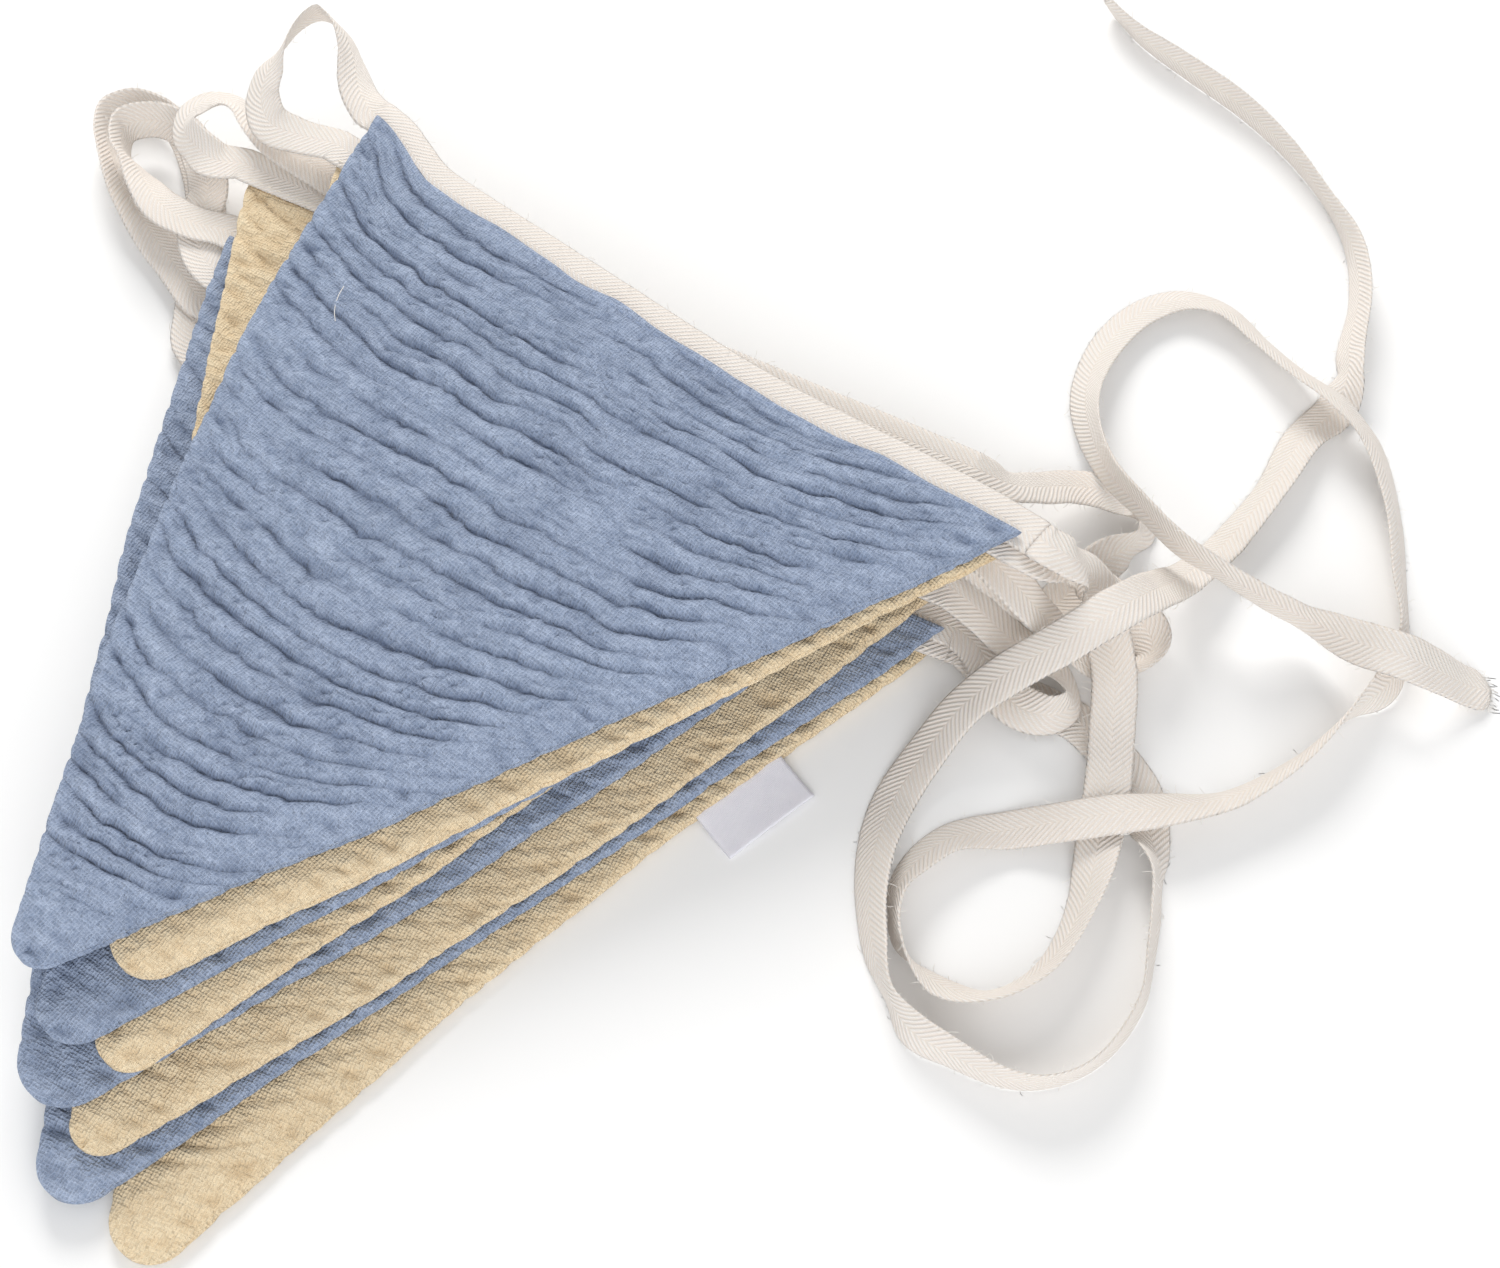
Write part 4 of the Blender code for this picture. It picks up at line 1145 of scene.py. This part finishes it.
def selvedges(piece):
    """The two edge lines of a ribbon mesh."""
    places = np.empty(len(piece.data.vertices) * 3, np.float32)
    piece.data.vertices.foreach_get("co", places)
    rings = places.reshape(-1, RING_POINTS, 3)
    return [rings[:, 0], rings[:, RIBBON_COLUMNS - 1]]


edge_lines = [line for piece in (*ties, heading_tape) for line in selvedges(piece)]
along_lines("tape_fuzz", edge_lines, cotton_hair, Pitch=FUZZ_PITCH * MM, Long=FUZZ_LONG * MM,
            Thick=FUZZ_THICK * MM, Turn=(0.0, 0.0, 0.0), Scatter=(3.1, 3.1, 3.1), Seed=5)
for number, piece in enumerate(ties):
    near, far = selvedges(piece)
    end_left, end_right = near[-3], far[-3]
    way = Vector(near[-3] - near[-9])
    turn = (0.0, -math.asin(way.normalized().z), math.atan2(way.y, way.x))
    along_lines("frayed_end_" + str(number + 1), [[end_left, end_right]], cotton_hair,
                Pitch=0.28 * MM, Long=3.2 * MM, Thick=0.07 * MM, Turn=turn,
                Scatter=(3.0, 0.12, 0.30), Seed=8 + number)

# One loose end of thread lies on the top flag, near its left corner.
lint = flags[0].ray_cast(Vector(metres((-58.3, -50.3, 80.0))), Vector((0, 0, -1)))[1]
along_lines("loose_thread", [[lint, lint + Vector((0, 0, 0.0001))]], cotton_hair, Pitch=0.001,
            Long=0.0068, Thick=0.00009, Turn=(0.0, -0.12, 2.087), Scatter=(0.0, 0.0, 0.0), Seed=3)

# %% [markdown]
# ## The side label
#
# A short piece of white satin ribbon is folded double and caught in the seam of the lowest
# flag. Here it is bare. Its section is a long narrow U, the fold towards the outside, and
# the two cut ends of the ribbon are inside the seam.

# %% Label
LABEL_LONG = 23.0
LABEL_OUT = 11.0
LABEL_AT = 0.27
LABEL_PLY = 0.26
LABEL_OPEN = 0.34


def satin_finish():
    w = Wiring("white satin ribbon")
    uv, across, along = w.cloth_place()
    weave = w.sum("SINE", w.sum("MULTIPLY", along, 2 * math.pi / 0.00030))
    cross = w.sum("SINE", w.sum("MULTIPLY", across, 2 * math.pi / 0.00042))
    height = w.sum("MULTIPLY_ADD", cross, 0.35, weave)
    tone = w.noise(uv, 260.0, 3.0)
    colour = w.mix(tone, (0.80, 0.79, 0.87, 1), (0.90, 0.89, 0.95, 1))
    return w.finish(colour, height, 0.00003, Roughness=0.42, Sheen_Weight=0.15)


white_satin = satin_finish()


def label_mesh():
    flag = FLAGS[-1]
    length = (Vector(flag.tip) - (Vector(flag.left) + Vector(flag.right)) / 2).length
    half = LABEL_LONG / 2 / length
    upper = np.array(tuple(side_seam(flag, LABEL_AT - half)[1]))
    lower = np.array(tuple(side_seam(flag, LABEL_AT + half)[1]))
    way = (lower - upper) / np.linalg.norm(lower - upper)
    outward = np.array([-way[1], way[0]])
    seam_height = (layer_height(upper[1]) - LAYER_GAP) / 2

    out = np.linspace(-1.6, LABEL_OUT, 16)
    turn = np.radians(np.linspace(80, -80, 7))
    wall = LABEL_PLY + LABEL_OPEN / 2
    outer = [(s, wall) for s in out[:-1]]
    outer += [(LABEL_OUT - wall + wall * math.cos(a), wall * math.sin(a)) for a in turn]
    outer += [(s, -wall) for s in out[-2::-1]]
    slit = LABEL_OPEN / 2
    inner = [(s, -slit) for s in out[:-2]]
    inner += [(LABEL_OUT - wall - 0.2 + slit * math.cos(a), slit * math.sin(a)) for a in turn[::-1]]
    inner += [(s, slit) for s in out[-3::-1]]
    section = np.array(outer + inner)
    along = np.linspace(0.0, LABEL_LONG, 28)
    share = np.clip(section[:, 0] / LABEL_OUT, 0.0, 1.0)
    bed = 0.62 + (seam_height - 0.5) * (1 - share) ** 2
    rings = []
    for s in along:
        bend = 0.35 * math.sin(s / LABEL_LONG * math.pi * 1.3 + 0.4) * share
        spot = upper + way * s
        xy = spot[None, :] + outward[None, :] * section[:, :1]
        high = np.maximum(bed + bend * 0.8 + section[:, 1], 0.03)
        rings.append(np.column_stack([xy, high]))
    rings = np.array(rings)
    gone = np.concatenate([[0], np.cumsum(np.linalg.norm(np.diff(section, axis=0), axis=1))])
    u = np.concatenate([gone, gone[-1:]])
    across = np.broadcast_to(u * MM, (len(along), len(u)))
    v = np.broadcast_to(along[:, None] * MM, across.shape)
    return skin("side_label_satin", metres(rings), across, v, white_satin)


label = label_mesh()
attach(label, "root")
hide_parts("side_label")

# %% [markdown]
# ## Floor and light
#
# A pale table and soft daylight. One wide lamp stands high at the back left, as a window
# would, a weaker one fills from the front right, and a pale sky lights the rest.

# %% Floor
floor_mesh = bpy.data.meshes.new("table")
half_floor = 3.0
floor_mesh.from_pydata([(-half_floor, -half_floor, 0), (half_floor, -half_floor, 0),
                        (half_floor, half_floor, 0), (-half_floor, half_floor, 0)], [],
                       [(0, 1, 2, 3)])
floor = bpy.data.objects.new("table", floor_mesh)
bpy.context.scene.collection.objects.link(floor)
floor_wiring = Wiring("pale table")
floor_place = floor_wiring.add("ShaderNodeTexCoord").outputs["Object"]
floor_tone = floor_wiring.mix(floor_wiring.noise(floor_place, 3.0), (0.93, 0.93, 0.93, 1),
                              (0.95, 0.95, 0.95, 1))
floor_mesh.materials.append(floor_wiring.finish(floor_tone, None, 0.0, Roughness=0.9))

# %% Lights
LAMPS = (
    ("window", (-0.75, 0.80, 0.75), 0.7, 12.5, (1.0, 0.985, 0.96)),
    ("fill", (0.80, -0.75, 0.70), 1.1, 9.0, (0.98, 0.99, 1.0)),
)
for name, place, size, power, colour in LAMPS:
    lamp = bpy.data.lights.new(name, "AREA")
    lamp.shape = "DISK"
    lamp.size = size
    lamp.energy = power
    lamp.color = colour
    lamp_object = bpy.data.objects.new(name, lamp)
    lamp_object.location = place
    lamp_object.rotation_euler = (-Vector(place)).to_track_quat("-Z", "Y").to_euler()
    bpy.context.scene.collection.objects.link(lamp_object)
world = bpy.data.worlds.new("sky")
bpy.context.scene.world = world
world.use_nodes = True
world.node_tree.nodes["Background"].inputs["Color"].default_value = (1.0, 1.0, 1.0, 1.0)
world.node_tree.nodes["Background"].inputs["Strength"].default_value = 0.54
bpy.context.scene.view_settings.view_transform = "Standard"
print("lamps:", len(LAMPS))
